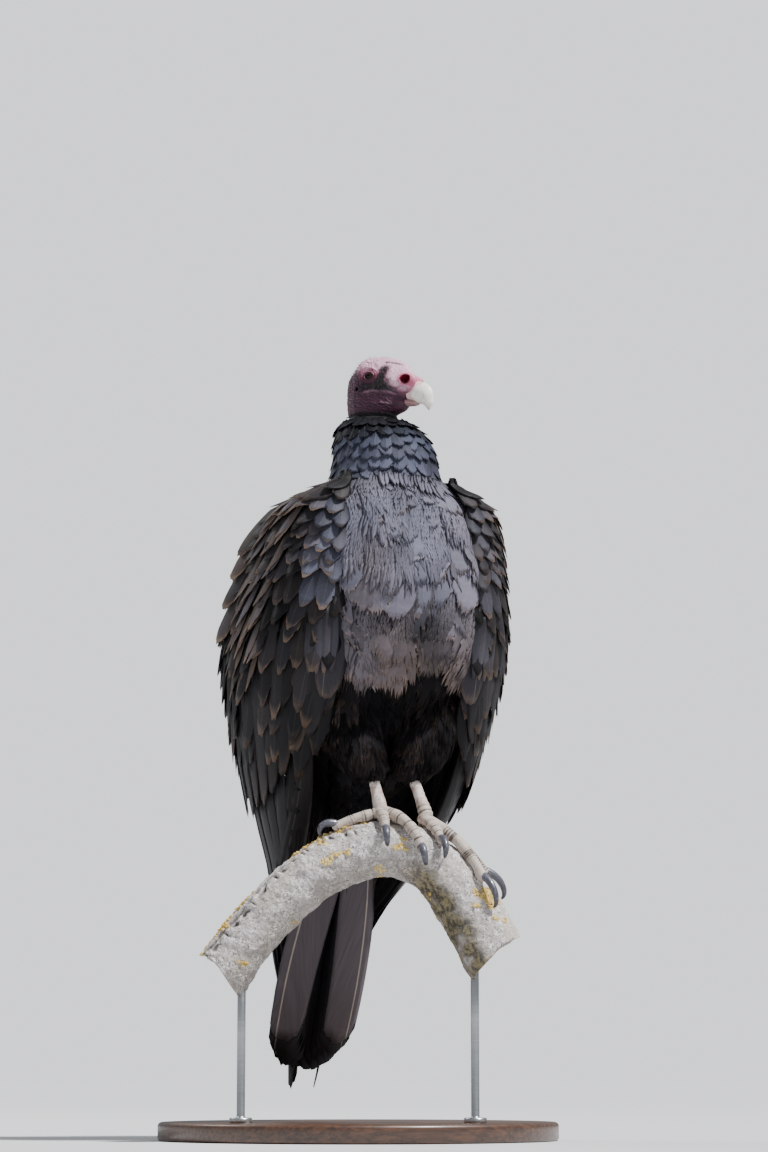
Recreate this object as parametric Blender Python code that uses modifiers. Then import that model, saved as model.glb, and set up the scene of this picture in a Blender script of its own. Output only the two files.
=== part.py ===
"""Turkey vulture (Cathartes aura) perched on a short arched branch, held by a plain display stand.

Metres, +Z up. The row's origin is the middle of the stand's underside. The bird is modelled in its own
frame: its origin is on top of the perch between the feet, its chest faces -Y and its left side is +X.
"""

import bmesh
import bpy
from math import cos, pi, radians, sin, sqrt, tan
from mathutils import Matrix, Vector

# Driving dimensions
GAP = 0.0003  # clearance between neighbouring pieces
WING_GAP = 0.0015  # clearance between the body and the wings
PERCH_TOP = 0.305  # height of the top of the perch above the floor
BIRD_BACK = 0.080  # how far the middle of the base lies behind the bird's upright axis

BASE_RADIUS = 0.196
BASE_HEIGHT = 0.018
ROD_RADIUS = 0.004
COLLAR_RADIUS = 0.011
COLLAR_HEIGHT = 0.005

PERCH_TURN = radians(-20)  # the perch lies across the bird's view, turned from its left-right axis
PERCH_BACK = -0.030  # the perch's middle plane, in front of the upright axis
PERCH_SIDES = 12

TAIL_LENGTH = 0.300
TAIL_SLOPE = radians(32)  # from the vertical, down and back
TAIL_HALF_WIDTH = 0.050
TAIL_FEATHERS = 12
SECONDARIES = 9
PRIMARIES = 7
COVERT_SPLIT = 0.172  # height at which the wing's arm is parted from its secondaries

HEAD_CENTRE = Vector((-0.008, 0.018, 0.4365))  # middle of the skull
HEAD_TURN = radians(40)  # the head looks to the bird's left
HEAD_PITCH = radians(4.5)  # and the bill points a little down
HEAD_BASE = -0.0317  # the cut between head and neck, below the middle of the skull
EYE_RADIUS = 0.0060
EYE_PLACE = Vector((0.0172, -0.0080, 0.0054))
NOSTRIL_PLACE = Vector((0.0100, -0.0420, 0.0030))

FOOT_SPREAD = 0.0146  # half the distance between the feet along the perch
PAD_RADIUS = 0.0075
CLAW_RADIUS = 0.0034
TOE_STEPS = 6
CLAW_STEPS = 5


# Sections, one tuple for each named level. Heights run down the bird.
# Trunk: height, middle along Y, half width, half depth
TRUNK = (
    (0.3347, 0.004, 0.055, 0.052),
    (0.318, 0.006, 0.077, 0.068),
    (0.296, 0.010, 0.090, 0.086),
    (0.250, 0.016, 0.099, 0.103),
    (0.205, 0.022, 0.101, 0.110),
    (0.160, 0.038, 0.099, 0.106),
    (0.115, 0.054, 0.090, 0.092),
    (0.072, 0.074, 0.075, 0.070),
    (0.030, 0.094, 0.052, 0.045),
    (0.000, 0.113, 0.036, 0.028),
    (-0.022, 0.127, 0.022, 0.013),
)
# Neck with its ruff: height, middle along X and Y, half width, half depth
NECK = (
    (0.4045, -0.007, 0.017, 0.029, 0.029),
    (0.3960, -0.006, 0.013, 0.040, 0.037),
    (0.3800, -0.002, 0.008, 0.050, 0.046),
    (0.3590, 0.000, 0.004, 0.054, 0.050),
    (0.3350, 0.000, 0.004, 0.056, 0.053),
)
# Head, in its own frame: height, reach of the nape, reach of the face, half width
HEAD = (
    (HEAD_BASE, 0.0225, 0.0300, 0.0210),
    (-0.0260, 0.0238, 0.0400, 0.0220),
    (-0.0200, 0.0245, 0.0455, 0.0228),
    (-0.0120, 0.0250, 0.0450, 0.0236),
    (-0.0040, 0.0250, 0.0490, 0.0240),
    (0.0016, 0.0240, 0.0540, 0.0240),
    (0.0050, 0.0225, 0.0525, 0.0235),
    (0.0091, 0.0195, 0.0495, 0.0225),
    (0.0150, 0.0160, 0.0440, 0.0205),
    (0.0200, 0.0115, 0.0390, 0.0175),
    (0.0237, 0.0060, 0.0335, 0.0140),
    (0.0264, -0.0010, 0.0260, 0.0095),
    (0.0278, -0.0070, 0.0180, 0.0035),
)
# Bill, along its curved middle line: reach, height, half depth, half width
BILL_UPPER = (
    (0.0430, -0.0080, 0.0100, 0.0068),
    (0.0520, -0.0090, 0.0104, 0.0070),
    (0.0585, -0.0135, 0.0098, 0.0060),
    (0.0625, -0.0195, 0.0058, 0.0044),
    (0.0642, -0.0250, 0.0026, 0.0022),
    (0.0643, -0.0286, 0.0004, 0.0004),
)
BILL_LOWER = (
    (0.0350, -0.0212, 0.0034, 0.0062),
    (0.0440, -0.0218, 0.0030, 0.0052),
    (0.0505, -0.0220, 0.0020, 0.0036),
    (0.0540, -0.0218, 0.0006, 0.0012),
)
# Folded wing: height, front edge X Y, widest X Y, rear edge X Y, thickness
WING = (
    (0.332, 0.056, -0.047, 0.065, -0.038, 0.060, -0.020, 0.006),
    (0.318, 0.060, -0.060, 0.096, -0.018, 0.070, 0.045, 0.024),
    (0.300, 0.063, -0.066, 0.121, 0.014, 0.070, 0.085, 0.034),
    (0.240, 0.067, -0.070, 0.146, 0.046, 0.058, 0.127, 0.032),
    (0.170, 0.070, -0.060, 0.149, 0.067, 0.051, 0.150, 0.024),
    (0.085, 0.071, -0.025, 0.130, 0.078, 0.047, 0.168, 0.016),
    (0.010, 0.069, 0.022, 0.107, 0.093, 0.040, 0.182, 0.011),
    (-0.050, 0.064, 0.105, 0.076, 0.140, 0.026, 0.202, 0.006),
    (-0.100, 0.052, 0.188, 0.056, 0.200, 0.014, 0.230, 0.003),
    (-0.165, 0.040, 0.228, 0.044, 0.238, 0.007, 0.254, 0.001),
    (-0.262, 0.027, 0.274, 0.030, 0.279, 0.002, 0.285, 0.000),
)
# Feathered thigh: height, X, Y, radius
THIGH = (
    (0.160, 0.044, 0.020, 0.030),
    (0.120, 0.044, 0.006, 0.032),
    (0.085, 0.039, 0.000, 0.032),
    (0.058, 0.029, -0.006, 0.025),
    (0.040, 0.0200, -0.010, 0.0140),
)
# Branch: place along it, height of its middle below the bird's origin, radius
BRANCH = (
    (-0.166, -0.146, 0.0270),
    (-0.138, -0.109, 0.0265),
    (-0.104, -0.073, 0.0270),
    (-0.062, -0.042, 0.0268),
    (-0.012, -0.0275, 0.0275),
    (0.034, -0.043, 0.0280),
    (0.067, -0.083, 0.0300),
    (0.092, -0.129, 0.0310),
)
# Toes: name, heading from straight ahead round to along the branch, length
TOES = {
    "right": (("outer", -78, 0.036), ("middle", 38, 0.056), ("inner", 6, 0.034), ("hind", 178, 0.020)),
    "left": (("inner", 30, 0.030), ("middle", 63, 0.050), ("outer", 98, 0.044), ("hind", 182, 0.020)),
}
TOE_RADIUS = {"inner": 0.0045, "middle": 0.0050, "outer": 0.0045, "hind": 0.0042}
CLAW_LENGTH = {"inner": 0.019, "middle": 0.019, "outer": 0.016, "hind": 0.016}

COLOURS = {  # base colour and roughness
    "plumage": ((0.018, 0.017, 0.021), 0.62),
    "ruff": ((0.045, 0.047, 0.066), 0.55),
    "coverts": ((0.040, 0.034, 0.034), 0.60),
    "flight": ((0.014, 0.013, 0.016), 0.50),
    "tail": ((0.060, 0.055, 0.058), 0.60),
    "skin": ((0.330, 0.130, 0.190), 0.55),
    "ivory": ((0.760, 0.700, 0.660), 0.35),
    "eye": ((0.020, 0.010, 0.008), 0.10),
    "leg": ((0.560, 0.450, 0.420), 0.70),
    "claw": ((0.030, 0.032, 0.040), 0.25),
    "bark": ((0.440, 0.400, 0.370), 0.90),
    "stand_wood": ((0.050, 0.026, 0.016), 0.40),
    "stand_steel": ((0.560, 0.570, 0.580), 0.30),
}


def clear_scene():
    for obj in list(bpy.data.objects):
        bpy.data.objects.remove(obj)


def new_collection(name):
    collection = bpy.data.collections.new(name)
    bpy.context.scene.collection.children.link(collection)
    return collection


def material(name):
    found = bpy.data.materials.get(name)
    if found:
        return found
    colour, roughness = COLOURS[name]
    made = bpy.data.materials.new(name)
    made.use_nodes = True
    shader = made.node_tree.nodes["Principled BSDF"]
    shader.inputs["Base Color"].default_value = (*colour, 1)
    shader.inputs["Roughness"].default_value = roughness
    shader.inputs["Metallic"].default_value = 1.0 if name == "stand_steel" else 0.0
    return made


def interpolate(table, at):
    """A smooth value between a table's rows, which are sorted by their first number."""
    rows = sorted(table)
    last = len(rows) - 1
    k = max(0, min(last - 1, sum(row[0] <= at for row in rows) - 1))

    def slope(i, c):
        low, high = max(0, i - 1), min(last, i + 1)
        return (rows[high][c] - rows[low][c]) / (rows[high][0] - rows[low][0])

    span = rows[k + 1][0] - rows[k][0]
    t = max(0.0, min(1.0, (at - rows[k][0]) / span))
    values = []
    for c in range(1, len(rows[0])):
        p0, p1 = rows[k][c], rows[k + 1][c]
        m0, m1 = slope(k, c) * span, slope(k + 1, c) * span
        values.append(
            p0 * (2 * t**3 - 3 * t**2 + 1) + m0 * (t**3 - 2 * t**2 + t)
            + p1 * (3 * t**2 - 2 * t**3) + m1 * (t**3 - t**2)
        )
    return values


def steps(start, end, count):
    return [start + (end - start) * i / count for i in range(count + 1)]


def new_object(name, mesh, look, collection, parent=None, angle=40):
    obj = bpy.data.objects.new(name, mesh)
    collection.objects.link(obj)
    obj.parent = parent
    mesh.materials.append(material(look))
    mesh.shade_smooth()
    mesh.set_sharp_from_angle(angle=radians(angle))
    return obj


def mesh_from(name, points, faces):
    shape = bmesh.new()
    verts = [shape.verts.new(p) for p in points]
    for face in faces:
        shape.faces.new([verts[i] for i in face])
    bmesh.ops.recalc_face_normals(shape, faces=shape.faces)
    if shape.calc_volume(signed=True) < 0:
        bmesh.ops.reverse_faces(shape, faces=shape.faces)
    mesh = bpy.data.meshes.new(name)
    shape.to_mesh(mesh)
    shape.free()
    return mesh


def loft(name, rings):
    """A closed solid through rings of equally many points, flat at both ends."""
    n = len(rings[0])
    points = [p for ring in rings for p in ring]
    faces = [range(n), range(len(points) - n, len(points))]
    for r in range(len(rings) - 1):
        for i in range(n):
            j = (i + 1) % n
            faces.append((r * n + i, r * n + j, (r + 1) * n + j, (r + 1) * n + i))
    return mesh_from(name, points, faces)


def slab(name, outer, inner):
    """A closed solid between two sheets of points, rows by columns."""
    rows, columns = len(outer), len(outer[0])
    flat = [p for row in outer for p in row] + [p for row in inner for p in row]
    half = rows * columns
    border = [(0, c) for c in range(columns)] + [(r, columns - 1) for r in range(1, rows)]
    border += [(rows - 1, c) for c in reversed(range(columns - 1))]
    border += [(r, 0) for r in reversed(range(1, rows - 1))]
    faces = []
    for r in range(rows - 1):
        for c in range(columns - 1):
            quad = (r * columns + c, r * columns + c + 1, (r + 1) * columns + c + 1, (r + 1) * columns + c)
            faces += [quad, tuple(half + i for i in reversed(quad))]
    edge = [r * columns + c for r, c in border]
    for i, start in enumerate(edge):
        end = edge[(i + 1) % len(edge)]
        faces.append((start, end, half + end, half + start))
    return mesh_from(name, flat, faces)


def tube(name, path, radii, sides=7):
    """A solid of round sections along a path. Its ends are flat."""
    rings = []
    side = None
    for i, point in enumerate(path):
        ahead = (path[min(i + 1, len(path) - 1)] - path[max(i - 1, 0)]).normalized()
        side = ahead.orthogonal() if side is None else side - ahead * side.dot(ahead)
        side.normalize()
        up = ahead.cross(side)
        turns = steps(0, 2 * pi, sides)[:-1]
        rings.append([point + radii[i] * (side * cos(a) + up * sin(a)) for a in turns])
    return loft(name, rings)


def cut(obj, cutter, operation="DIFFERENCE"):
    modifier = obj.modifiers.new(cutter.name, "BOOLEAN")
    modifier.operation = operation
    modifier.object = cutter
    modifier.solver = "EXACT"


def grown(mesh, distance):
    """A copy of a mesh with its surface moved outwards."""
    shape = bmesh.new()
    shape.from_mesh(mesh)
    moves = [v.normal * distance * v.calc_shell_factor() for v in shape.verts]
    for v, move in zip(shape.verts, moves):
        v.co += move
    bigger = bpy.data.meshes.new("grown")
    shape.to_mesh(bigger)
    shape.free()
    return bigger


def as_cutter(name, mesh, collection, parent=None):
    obj = bpy.data.objects.new(name, mesh)
    collection.objects.link(obj)
    obj.parent = parent
    obj.hide_render = True
    obj.display_type = "WIRE"
    return obj


# Body

def oval(x, y, z, half_x, half_y, count, power=2.0):
    ring = []
    for a in steps(0, 2 * pi, count)[:-1]:
        c, s = cos(a), sin(a)
        r = (abs(c) ** power + abs(s) ** power) ** (-1 / power)
        ring.append(Vector((x + half_x * r * c, y + half_y * r * s, z)))
    return ring


def trunk_mesh(name):
    rings = []
    for z in steps(TRUNK[0][0], TRUNK[-1][0], 12):
        y, half_x, half_y = interpolate(TRUNK, z)
        rings.append(oval(0, y, z, half_x, half_y, 24, 2.35))
    return loft(name, rings)


def neck_mesh(name):
    rings = []
    for z in steps(NECK[0][0], NECK[-1][0], 6):
        x, y, half_x, half_y = interpolate(NECK, z)
        rings.append(oval(x, y, z, half_x, half_y, 20))
    return loft(name, rings)


# Head: in its own frame the face looks along -Y and the bird's left is +X

def head_ring(z):
    nape, face, half = interpolate(HEAD, z)
    level = tan(HEAD_PITCH) if z == HEAD_BASE else 0  # the cut above the neck lies level once the head is pitched
    ring = []
    for a in steps(0, 2 * pi, 20)[:-1]:
        ahead = cos(a)
        taper = 1 - 0.34 * max(0, ahead) ** 1.4
        y = -ahead * (face if ahead > 0 else nape)
        ring.append(Vector((half * sin(a) * taper, y, z - y * level)))
    return ring


def head_mesh(name):
    return loft(name, [head_ring(row[0]) for row in HEAD])


def bill_mesh(name, table, count, sides):
    """The bill's rings stand square to its middle line, which curves in the head's middle plane."""
    along = [(i, *row) for i, row in enumerate(table)]
    centres = []
    for t in steps(0, len(table) - 1, count):
        reach, height, deep, wide = interpolate(along, t)
        centres.append((Vector((0, -reach, height)), deep, wide))
    rings = []
    for i, (centre, deep, wide) in enumerate(centres):
        ahead = centres[min(i + 1, count)][0] - centres[max(i - 1, 0)][0]
        up = Vector((1, 0, 0)).cross(ahead).normalized()
        turns = steps(0, 2 * pi, sides)[:-1]
        rings.append([centre + Vector((wide * cos(a), 0, 0)) + up * deep * sin(a) for a in turns])
    return loft(name, rings)


def ball(name, radius, scale=(1, 1, 1), segments=12):
    shape = bmesh.new()
    bmesh.ops.create_uvsphere(shape, u_segments=segments, v_segments=segments // 2 + 1, radius=radius)
    bmesh.ops.scale(shape, vec=scale, verts=shape.verts)
    mesh = bpy.data.meshes.new(name)
    shape.to_mesh(mesh)
    shape.free()
    return mesh


def build_head(parts, cutters, bird):
    head_frame = bpy.data.objects.new("head_frame", None)
    parts.objects.link(head_frame)
    head_frame.parent = bird
    head_frame.location = HEAD_CENTRE
    head_frame.rotation_euler = (HEAD_PITCH, 0, HEAD_TURN)

    head = new_object("head", head_mesh("head"), "skin", parts, head_frame, 60)
    around = as_cutter("around_head", grown(head.data, GAP), cutters, head_frame)
    upper = new_object("bill_upper", bill_mesh("bill_upper", BILL_UPPER, 10, 14), "ivory", parts, head_frame, 60)
    lower = new_object("bill_lower", bill_mesh("bill_lower", BILL_LOWER, 4, 10), "ivory", parts, head_frame, 60)
    cut(upper, around)
    cut(lower, around)
    cut(lower, as_cutter("around_bill", grown(upper.data, GAP), cutters, head_frame))

    for name, side in (("left", 1), ("right", -1)):
        eye = new_object("eye_" + name, ball("eye_" + name, EYE_RADIUS), "eye", parts, head_frame)
        eye.location = (side * EYE_PLACE.x, EYE_PLACE.y, EYE_PLACE.z)
        socket = as_cutter("socket_" + name, ball("socket_" + name, EYE_RADIUS + GAP), cutters, head_frame)
        socket.location = eye.location
        nostril = as_cutter("nostril_" + name, ball("nostril_" + name, 0.004, (0.9, 1.4, 1.0), 8), cutters, head_frame)
        nostril.location = (side * NOSTRIL_PLACE.x, NOSTRIL_PLACE.y, NOSTRIL_PLACE.z)
        cut(head, socket)
        cut(head, nostril)


# Wings

def wing_place(u, z, depth):
    """A point of the folded left wing: u runs from its front edge to its rear edge, depth inwards."""
    front_x, front_y, wide_x, wide_y, rear_x, rear_y, thickness = interpolate(WING, z)
    if u < 0.5:
        turn = pi * u
        x = front_x + (wide_x - front_x) * sin(turn)
        y = wide_y + (front_y - wide_y) * cos(turn)
        normal = Vector((sin(turn) * (wide_y - front_y), -cos(turn) * (wide_x - front_x)))
    else:
        turn = pi * (u - 0.5)
        x = rear_x + (wide_x - rear_x) * cos(turn)
        y = wide_y + (rear_y - wide_y) * sin(turn)
        normal = Vector((cos(turn) * (rear_y - wide_y), sin(turn) * (wide_x - rear_x)))
    normal.normalize()
    return Vector((x - normal.x * depth, y - normal.y * depth, z))


def wing_thickness(u, z):
    return 0.0025 + interpolate(WING, z)[-1] * sqrt(sin(pi * min(max(u, 0.0), 1.0)))


def scallop(u, count):
    """0 in the middle of each feather's tip and 1 at its edges."""
    return (2 * (u * count % 1.0) - 1) ** 2


def secondary_end(u):
    line = 0.125 - 0.110 * sin(pi * min(1.0, u / 0.9)) ** 0.8 - 0.075 * max(0, u - 0.45)
    return line + 0.012 * scallop(min(u, 0.9999), SECONDARIES)


def primary_end(u):
    line = -0.262 + 0.19 * max(0, u - 0.30) + 0.16 * max(0, 0.14 - u)
    return line + 0.012 * scallop(min(u, 0.9999), PRIMARIES)


def wing_mesh(name, columns, rows, top, end, start_depth, thickness):
    outer, inner = [], []
    for part in steps(0, 1, rows):
        outer.append([])
        inner.append([])
        for u in steps(0, 1, columns):
            z = top(u) + (end(u) - top(u)) * part
            depth = start_depth(u, z)
            outer[-1].append(wing_place(u, z, depth))
            inner[-1].append(wing_place(u, z, depth + thickness(u, z)))
    return slab(name, outer, inner)


def no_depth(u, z):
    return 0.0


def under_secondaries(u, z):
    """The primaries come out from under the secondaries, and below them they are the wing's own surface."""
    covered = min(1.0, max(0.0, (z + 0.09) / 0.09))
    return (wing_thickness(u, z) + 0.0018) * covered


def primary_thickness(u, z):
    return 0.0016 + 0.0060 * sin(pi * u) * min(1, max(0, (z + 0.22) / 0.20))


def arm_mesh(name):
    return wing_mesh(name, 14, 8, lambda u: WING[0][0], lambda u: COVERT_SPLIT, no_depth, wing_thickness)


def secondary_mesh(name):
    return wing_mesh(
        name, SECONDARIES * 2, 4, lambda u: COVERT_SPLIT - GAP, secondary_end, no_depth, wing_thickness
    )


def primary_mesh(name):
    return wing_mesh(
        name, PRIMARIES * 2, 6, lambda u: secondary_end(u) + 0.022, primary_end,
        under_secondaries, primary_thickness,
    )


def build_wings(parts, cutters, bird):
    """The two wings. Returns the cutters that keep the body clear of each."""
    around = {}
    for name, side in (("left", 1), ("right", -1)):
        around[name] = []
        pieces = (
            ("wing_arm_", arm_mesh, "coverts"),
            ("wing_secondaries_", secondary_mesh, "flight"),
            ("wing_primaries_", primary_mesh, "flight"),
        )
        for start, make, look in pieces:
            mesh = make(start + name)
            mirrored(mesh, side)
            new_object(start + name, mesh, look, parts, bird, 50)
            around[name].append(as_cutter("around_" + start + name, grown(mesh, WING_GAP), cutters, bird))
    return around


def mirrored(mesh, side):
    if side < 0:
        mesh.transform(Matrix.Scale(-1, 4, (1, 0, 0)))
        mesh.flip_normals()


# Tail

def tail_end(across):
    length = TAIL_LENGTH - 0.046 * abs(across) ** 1.6
    return length - 0.007 * scallop(min((across + 1) / 2, 0.9999), TAIL_FEATHERS)


def tail_mesh(name):
    along = Vector((0, sin(TAIL_SLOPE), -cos(TAIL_SLOPE)))
    back = Vector((0, cos(TAIL_SLOPE), sin(TAIL_SLOPE)))
    root = Vector((0, 0.100, 0.020))
    columns, rows = TAIL_FEATHERS * 2, 4
    outer, inner = [], []
    for r in range(rows + 1):
        outer.append([])
        inner.append([])
        for c in range(columns + 1):
            across = 2 * c / columns - 1
            reach = tail_end(across) * r / rows
            part = reach / TAIL_LENGTH
            half = 0.016 + (TAIL_HALF_WIDTH - 0.016) * sin(min(1.0, part / 0.86) * pi / 2)
            bow = -0.014 * across * across * part
            middle = root + Vector((half * across, 0, 0)) + along * reach + back * bow
            thick = 0.0035 - 0.0023 * part
            outer[-1].append(middle + back * thick)
            inner[-1].append(middle - back * thick)
    return slab(name, outer, inner)


# Perch

def branch_place(along):
    """The middle of the branch, and the direction in which it runs, in the bird's frame."""
    def middle(s):
        height, radius = interpolate(BRANCH, s)
        x, y = s * cos(PERCH_TURN), PERCH_BACK + s * sin(PERCH_TURN)
        return Vector((x, y, height)), radius
    place, radius = middle(along)
    ahead = (middle(along + 0.001)[0] - middle(along - 0.001)[0]).normalized()
    return place, ahead, radius


def branch_frame(along):
    place, ahead, radius = branch_place(along)
    front = Vector((sin(PERCH_TURN), -cos(PERCH_TURN), 0))
    up = front.cross(ahead)
    return place, front, up * (1 if up.z > 0 else -1), radius


def branch_point(along, angle, lift):
    """A point above the bark: the angle turns from the top towards the front."""
    place, front, up, radius = branch_frame(along)
    return place + (radius + lift) * (up * cos(angle) + front * sin(angle))


def branch_mesh(name):
    rings = []
    for i, s in enumerate(steps(BRANCH[0][0], BRANCH[-1][0], 16)):
        place, front, up, radius = branch_frame(s)
        ring = []
        for k, a in enumerate(steps(0, 2 * pi, PERCH_SIDES)[:-1]):
            r = radius * (1 + 0.022 * sin(3 * a + 7 * i) - 0.03)
            ring.append(place + r * (up * cos(a) + front * sin(a)))
        rings.append(ring)
    return loft(name, rings)


# Legs

def foot_place(side):
    return FOOT_SPREAD * (1 if side == "left" else -1)


def thigh_mesh(name, sign):
    rings = []
    for z in steps(THIGH[0][0], THIGH[-1][0], 8):
        x, y, radius = interpolate(THIGH, z)
        rings.append(oval(sign * x, y, z, radius, radius * 1.12, 14))
    return loft(name, rings)


def tarsus_path(side):
    sign = 1 if side == "left" else -1
    foot = branch_point(foot_place(side), 0, 0.0155)
    heel = Vector((sign * 0.0195, -0.010, 0.0460))
    return foot, heel


def toe_path(side, heading, length, radius):
    """A toe follows the bark from the foot: the heading turns from straight ahead to along the branch."""
    start = foot_place(side)
    turn = radians(heading)
    near = interpolate(BRANCH, start)[1] + radius
    path = []
    for part in steps(0, 1, TOE_STEPS):
        run = length * part
        lift = radius + 0.0006 + 0.0042 * (1 - part) ** 2
        path.append(branch_point(start + run * sin(turn), run * cos(turn) / near, lift))
    return path


def toe_radii(radius):
    """The toe's pads: thick at the root and below each joint."""
    return [radius * (1.08 - 0.26 * part + 0.06 * cos(6 * pi * part)) for part in steps(0, 1, TOE_STEPS)]


def claw_path(side, heading, length, radius, reach):
    start = foot_place(side)
    turn = radians(heading)
    near = interpolate(BRANCH, start)[1] + radius
    path = []
    for part in steps(0, 1, CLAW_STEPS):
        run = length - 0.003 + (reach * 0.80 + 0.003) * part
        lift = 0.0050 + 0.0050 * sin(pi * part) - 0.0036 * part
        path.append(branch_point(start + run * sin(turn), run * cos(turn) / near, lift))
    return path


def build_legs(parts, cutters, bird, around_trunk, around_wings):
    for side in ("left", "right"):
        sign = 1 if side == "left" else -1
        thigh = new_object("thigh_" + side, thigh_mesh("thigh_" + side, sign), "plumage", parts, bird, 60)
        for cutter in (around_trunk, *around_wings[side]):
            cut(thigh, cutter)
        around_thigh = as_cutter("around_thigh_" + side, grown(thigh.data, 2 * GAP), cutters, bird)

        foot, heel = tarsus_path(side)
        path = [heel.lerp(foot, t) for t in steps(0, 1, 4)]
        radii = [0.0060, 0.0056, 0.0055, 0.0062, 0.0066]
        tarsus = new_object("tarsus_" + side, tube("tarsus_" + side, path, radii, 10), "leg", parts, bird, 60)

        cut(tarsus, around_thigh)
        palm = branch_point(foot_place(side), 0, 0.0078)
        pad = ball("foot_" + side, PAD_RADIUS, (1.0, 1.0, 0.86), 12)
        pad.transform(Matrix.Translation(palm))
        cut(tarsus, as_cutter("around_pad_" + side, grown(pad, 2 * GAP), cutters, bird))
        foot_obj = new_object("foot_" + side, pad, "leg", parts, bird, 60)
        for name, heading, length in TOES[side]:
            radius = TOE_RADIUS[name]
            label = f"{name}_{side}"
            path = toe_path(side, heading, length, radius)
            toe = tube("toe_" + label, path, toe_radii(radius))
            cut(foot_obj, as_cutter("toe_" + label, toe, cutters, bird), "UNION")
            route = claw_path(side, heading, length, radius, CLAW_LENGTH[name])
            widths = [CLAW_RADIUS * (1 - part) ** 0.7 + 0.0003 for part in steps(0, 1, CLAW_STEPS)]
            claw = new_object("claw_" + label, tube("claw_" + label, route, widths, 6), "claw", parts, bird, 60)
            around_toe = as_cutter("around_toe_" + label, grown(toe, 2 * GAP), cutters, bird)
            cut(claw, around_toe)
            cut(tarsus, around_toe)


# Stand

def turned(name, profile, steps_round, look, collection):
    mesh = bpy.data.meshes.new(name)
    edges = [(i, i + 1) for i in range(len(profile) - 1)]
    mesh.from_pydata([(x, 0, z) for x, z in profile], edges, [])
    obj = bpy.data.objects.new(name, mesh)
    collection.objects.link(obj)
    mesh.materials.append(material(look))
    screw = obj.modifiers.new("turned", "SCREW")
    screw.steps = steps_round
    screw.render_steps = steps_round
    screw.use_merge_vertices = True
    screw.merge_threshold = 0.00001
    screw.use_smooth_shade = True
    return obj


def build_stand(parts, cutters, perch):
    rim = 0.003
    profile = [(0, BASE_HEIGHT), (BASE_RADIUS - rim, BASE_HEIGHT), (BASE_RADIUS, BASE_HEIGHT - rim)]
    profile += [(BASE_RADIUS, 0), (0, 0)]
    turned("stand_base", profile, 48, "stand_wood", parts)

    foot = BASE_HEIGHT + GAP
    for name, along in (("left", 0.074), ("right", -0.148)):
        middle, ahead, radius = branch_place(along)
        place = Vector((middle.x, middle.y - BIRD_BACK, 0))
        under = PERCH_TOP + middle.z
        top = under - 0.004
        profile = [(0, top), (ROD_RADIUS - 0.0008, top), (ROD_RADIUS, top - 0.0008)]
        profile += [(ROD_RADIUS, foot + COLLAR_HEIGHT), (COLLAR_RADIUS - 0.001, foot + COLLAR_HEIGHT)]
        profile += [(COLLAR_RADIUS, foot + COLLAR_HEIGHT - 0.001), (COLLAR_RADIUS, foot), (0, foot)]
        rod = turned("stand_rod_" + name, profile, 14, "stand_steel", parts)
        rod.location = place
        hole = bmesh.new()
        depth = 0.080
        bmesh.ops.create_cone(
            hole, cap_ends=True, segments=14, radius1=ROD_RADIUS + 2 * GAP, radius2=ROD_RADIUS + 2 * GAP, depth=depth
        )
        mesh = bpy.data.meshes.new("socket")
        hole.to_mesh(mesh)
        hole.free()
        socket = as_cutter("rod_socket_" + name, mesh, cutters)
        socket.location = place + Vector((0, 0, top + GAP - depth / 2))
        cut(perch, socket)


def main():
    clear_scene()
    parts = new_collection("turkey_vulture")
    cutters = new_collection("cutters")
    bird = bpy.data.objects.new("bird_frame", None)
    parts.objects.link(bird)
    bird.location = (0, -BIRD_BACK, PERCH_TOP)

    trunk = new_object("trunk", trunk_mesh("trunk"), "plumage", parts, bird, 60)
    new_object("neck", neck_mesh("neck"), "ruff", parts, bird, 60)
    build_head(parts, cutters, bird)
    around_wings = build_wings(parts, cutters, bird)
    for cutter in around_wings["left"] + around_wings["right"]:
        cut(trunk, cutter)
    tail = new_object("tail", tail_mesh("tail"), "tail", parts, bird, 50)
    cut(trunk, as_cutter("around_tail", grown(tail.data, 2 * GAP), cutters, bird))
    around_trunk = as_cutter("around_trunk", grown(trunk.data, GAP), cutters, bird)
    build_legs(parts, cutters, bird, around_trunk, around_wings)
    perch = new_object("perch", branch_mesh("perch"), "bark", parts, bird, 60)
    build_stand(parts, cutters, perch)


main()
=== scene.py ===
import time
from contextlib import contextmanager
from itertools import product
from math import cos, pi, radians, sin

import bmesh
import bpy
import numpy as np
from mathutils import Matrix, Vector
from mathutils.bvhtree import BVHTree


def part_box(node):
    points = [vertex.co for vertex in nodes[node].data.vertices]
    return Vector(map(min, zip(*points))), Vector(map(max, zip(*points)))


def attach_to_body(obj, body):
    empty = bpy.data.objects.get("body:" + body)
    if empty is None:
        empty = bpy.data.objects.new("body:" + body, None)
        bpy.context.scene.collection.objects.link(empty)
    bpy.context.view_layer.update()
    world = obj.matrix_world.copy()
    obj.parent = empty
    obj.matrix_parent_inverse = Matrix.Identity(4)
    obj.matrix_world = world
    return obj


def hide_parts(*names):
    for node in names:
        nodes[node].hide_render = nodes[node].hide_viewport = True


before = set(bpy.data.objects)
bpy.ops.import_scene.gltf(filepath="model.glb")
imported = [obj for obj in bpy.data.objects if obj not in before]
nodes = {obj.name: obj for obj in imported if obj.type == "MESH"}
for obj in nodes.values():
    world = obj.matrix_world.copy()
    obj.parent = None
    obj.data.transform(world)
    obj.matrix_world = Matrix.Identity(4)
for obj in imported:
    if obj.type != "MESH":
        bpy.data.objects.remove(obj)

startTime = time.time()
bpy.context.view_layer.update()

# The bird is made in its own frame: origin on top of the perch between the feet,
# chest towards -Y, its left side towards +X.
birdPlace = Vector((0, -0.08, 0.305))
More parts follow.
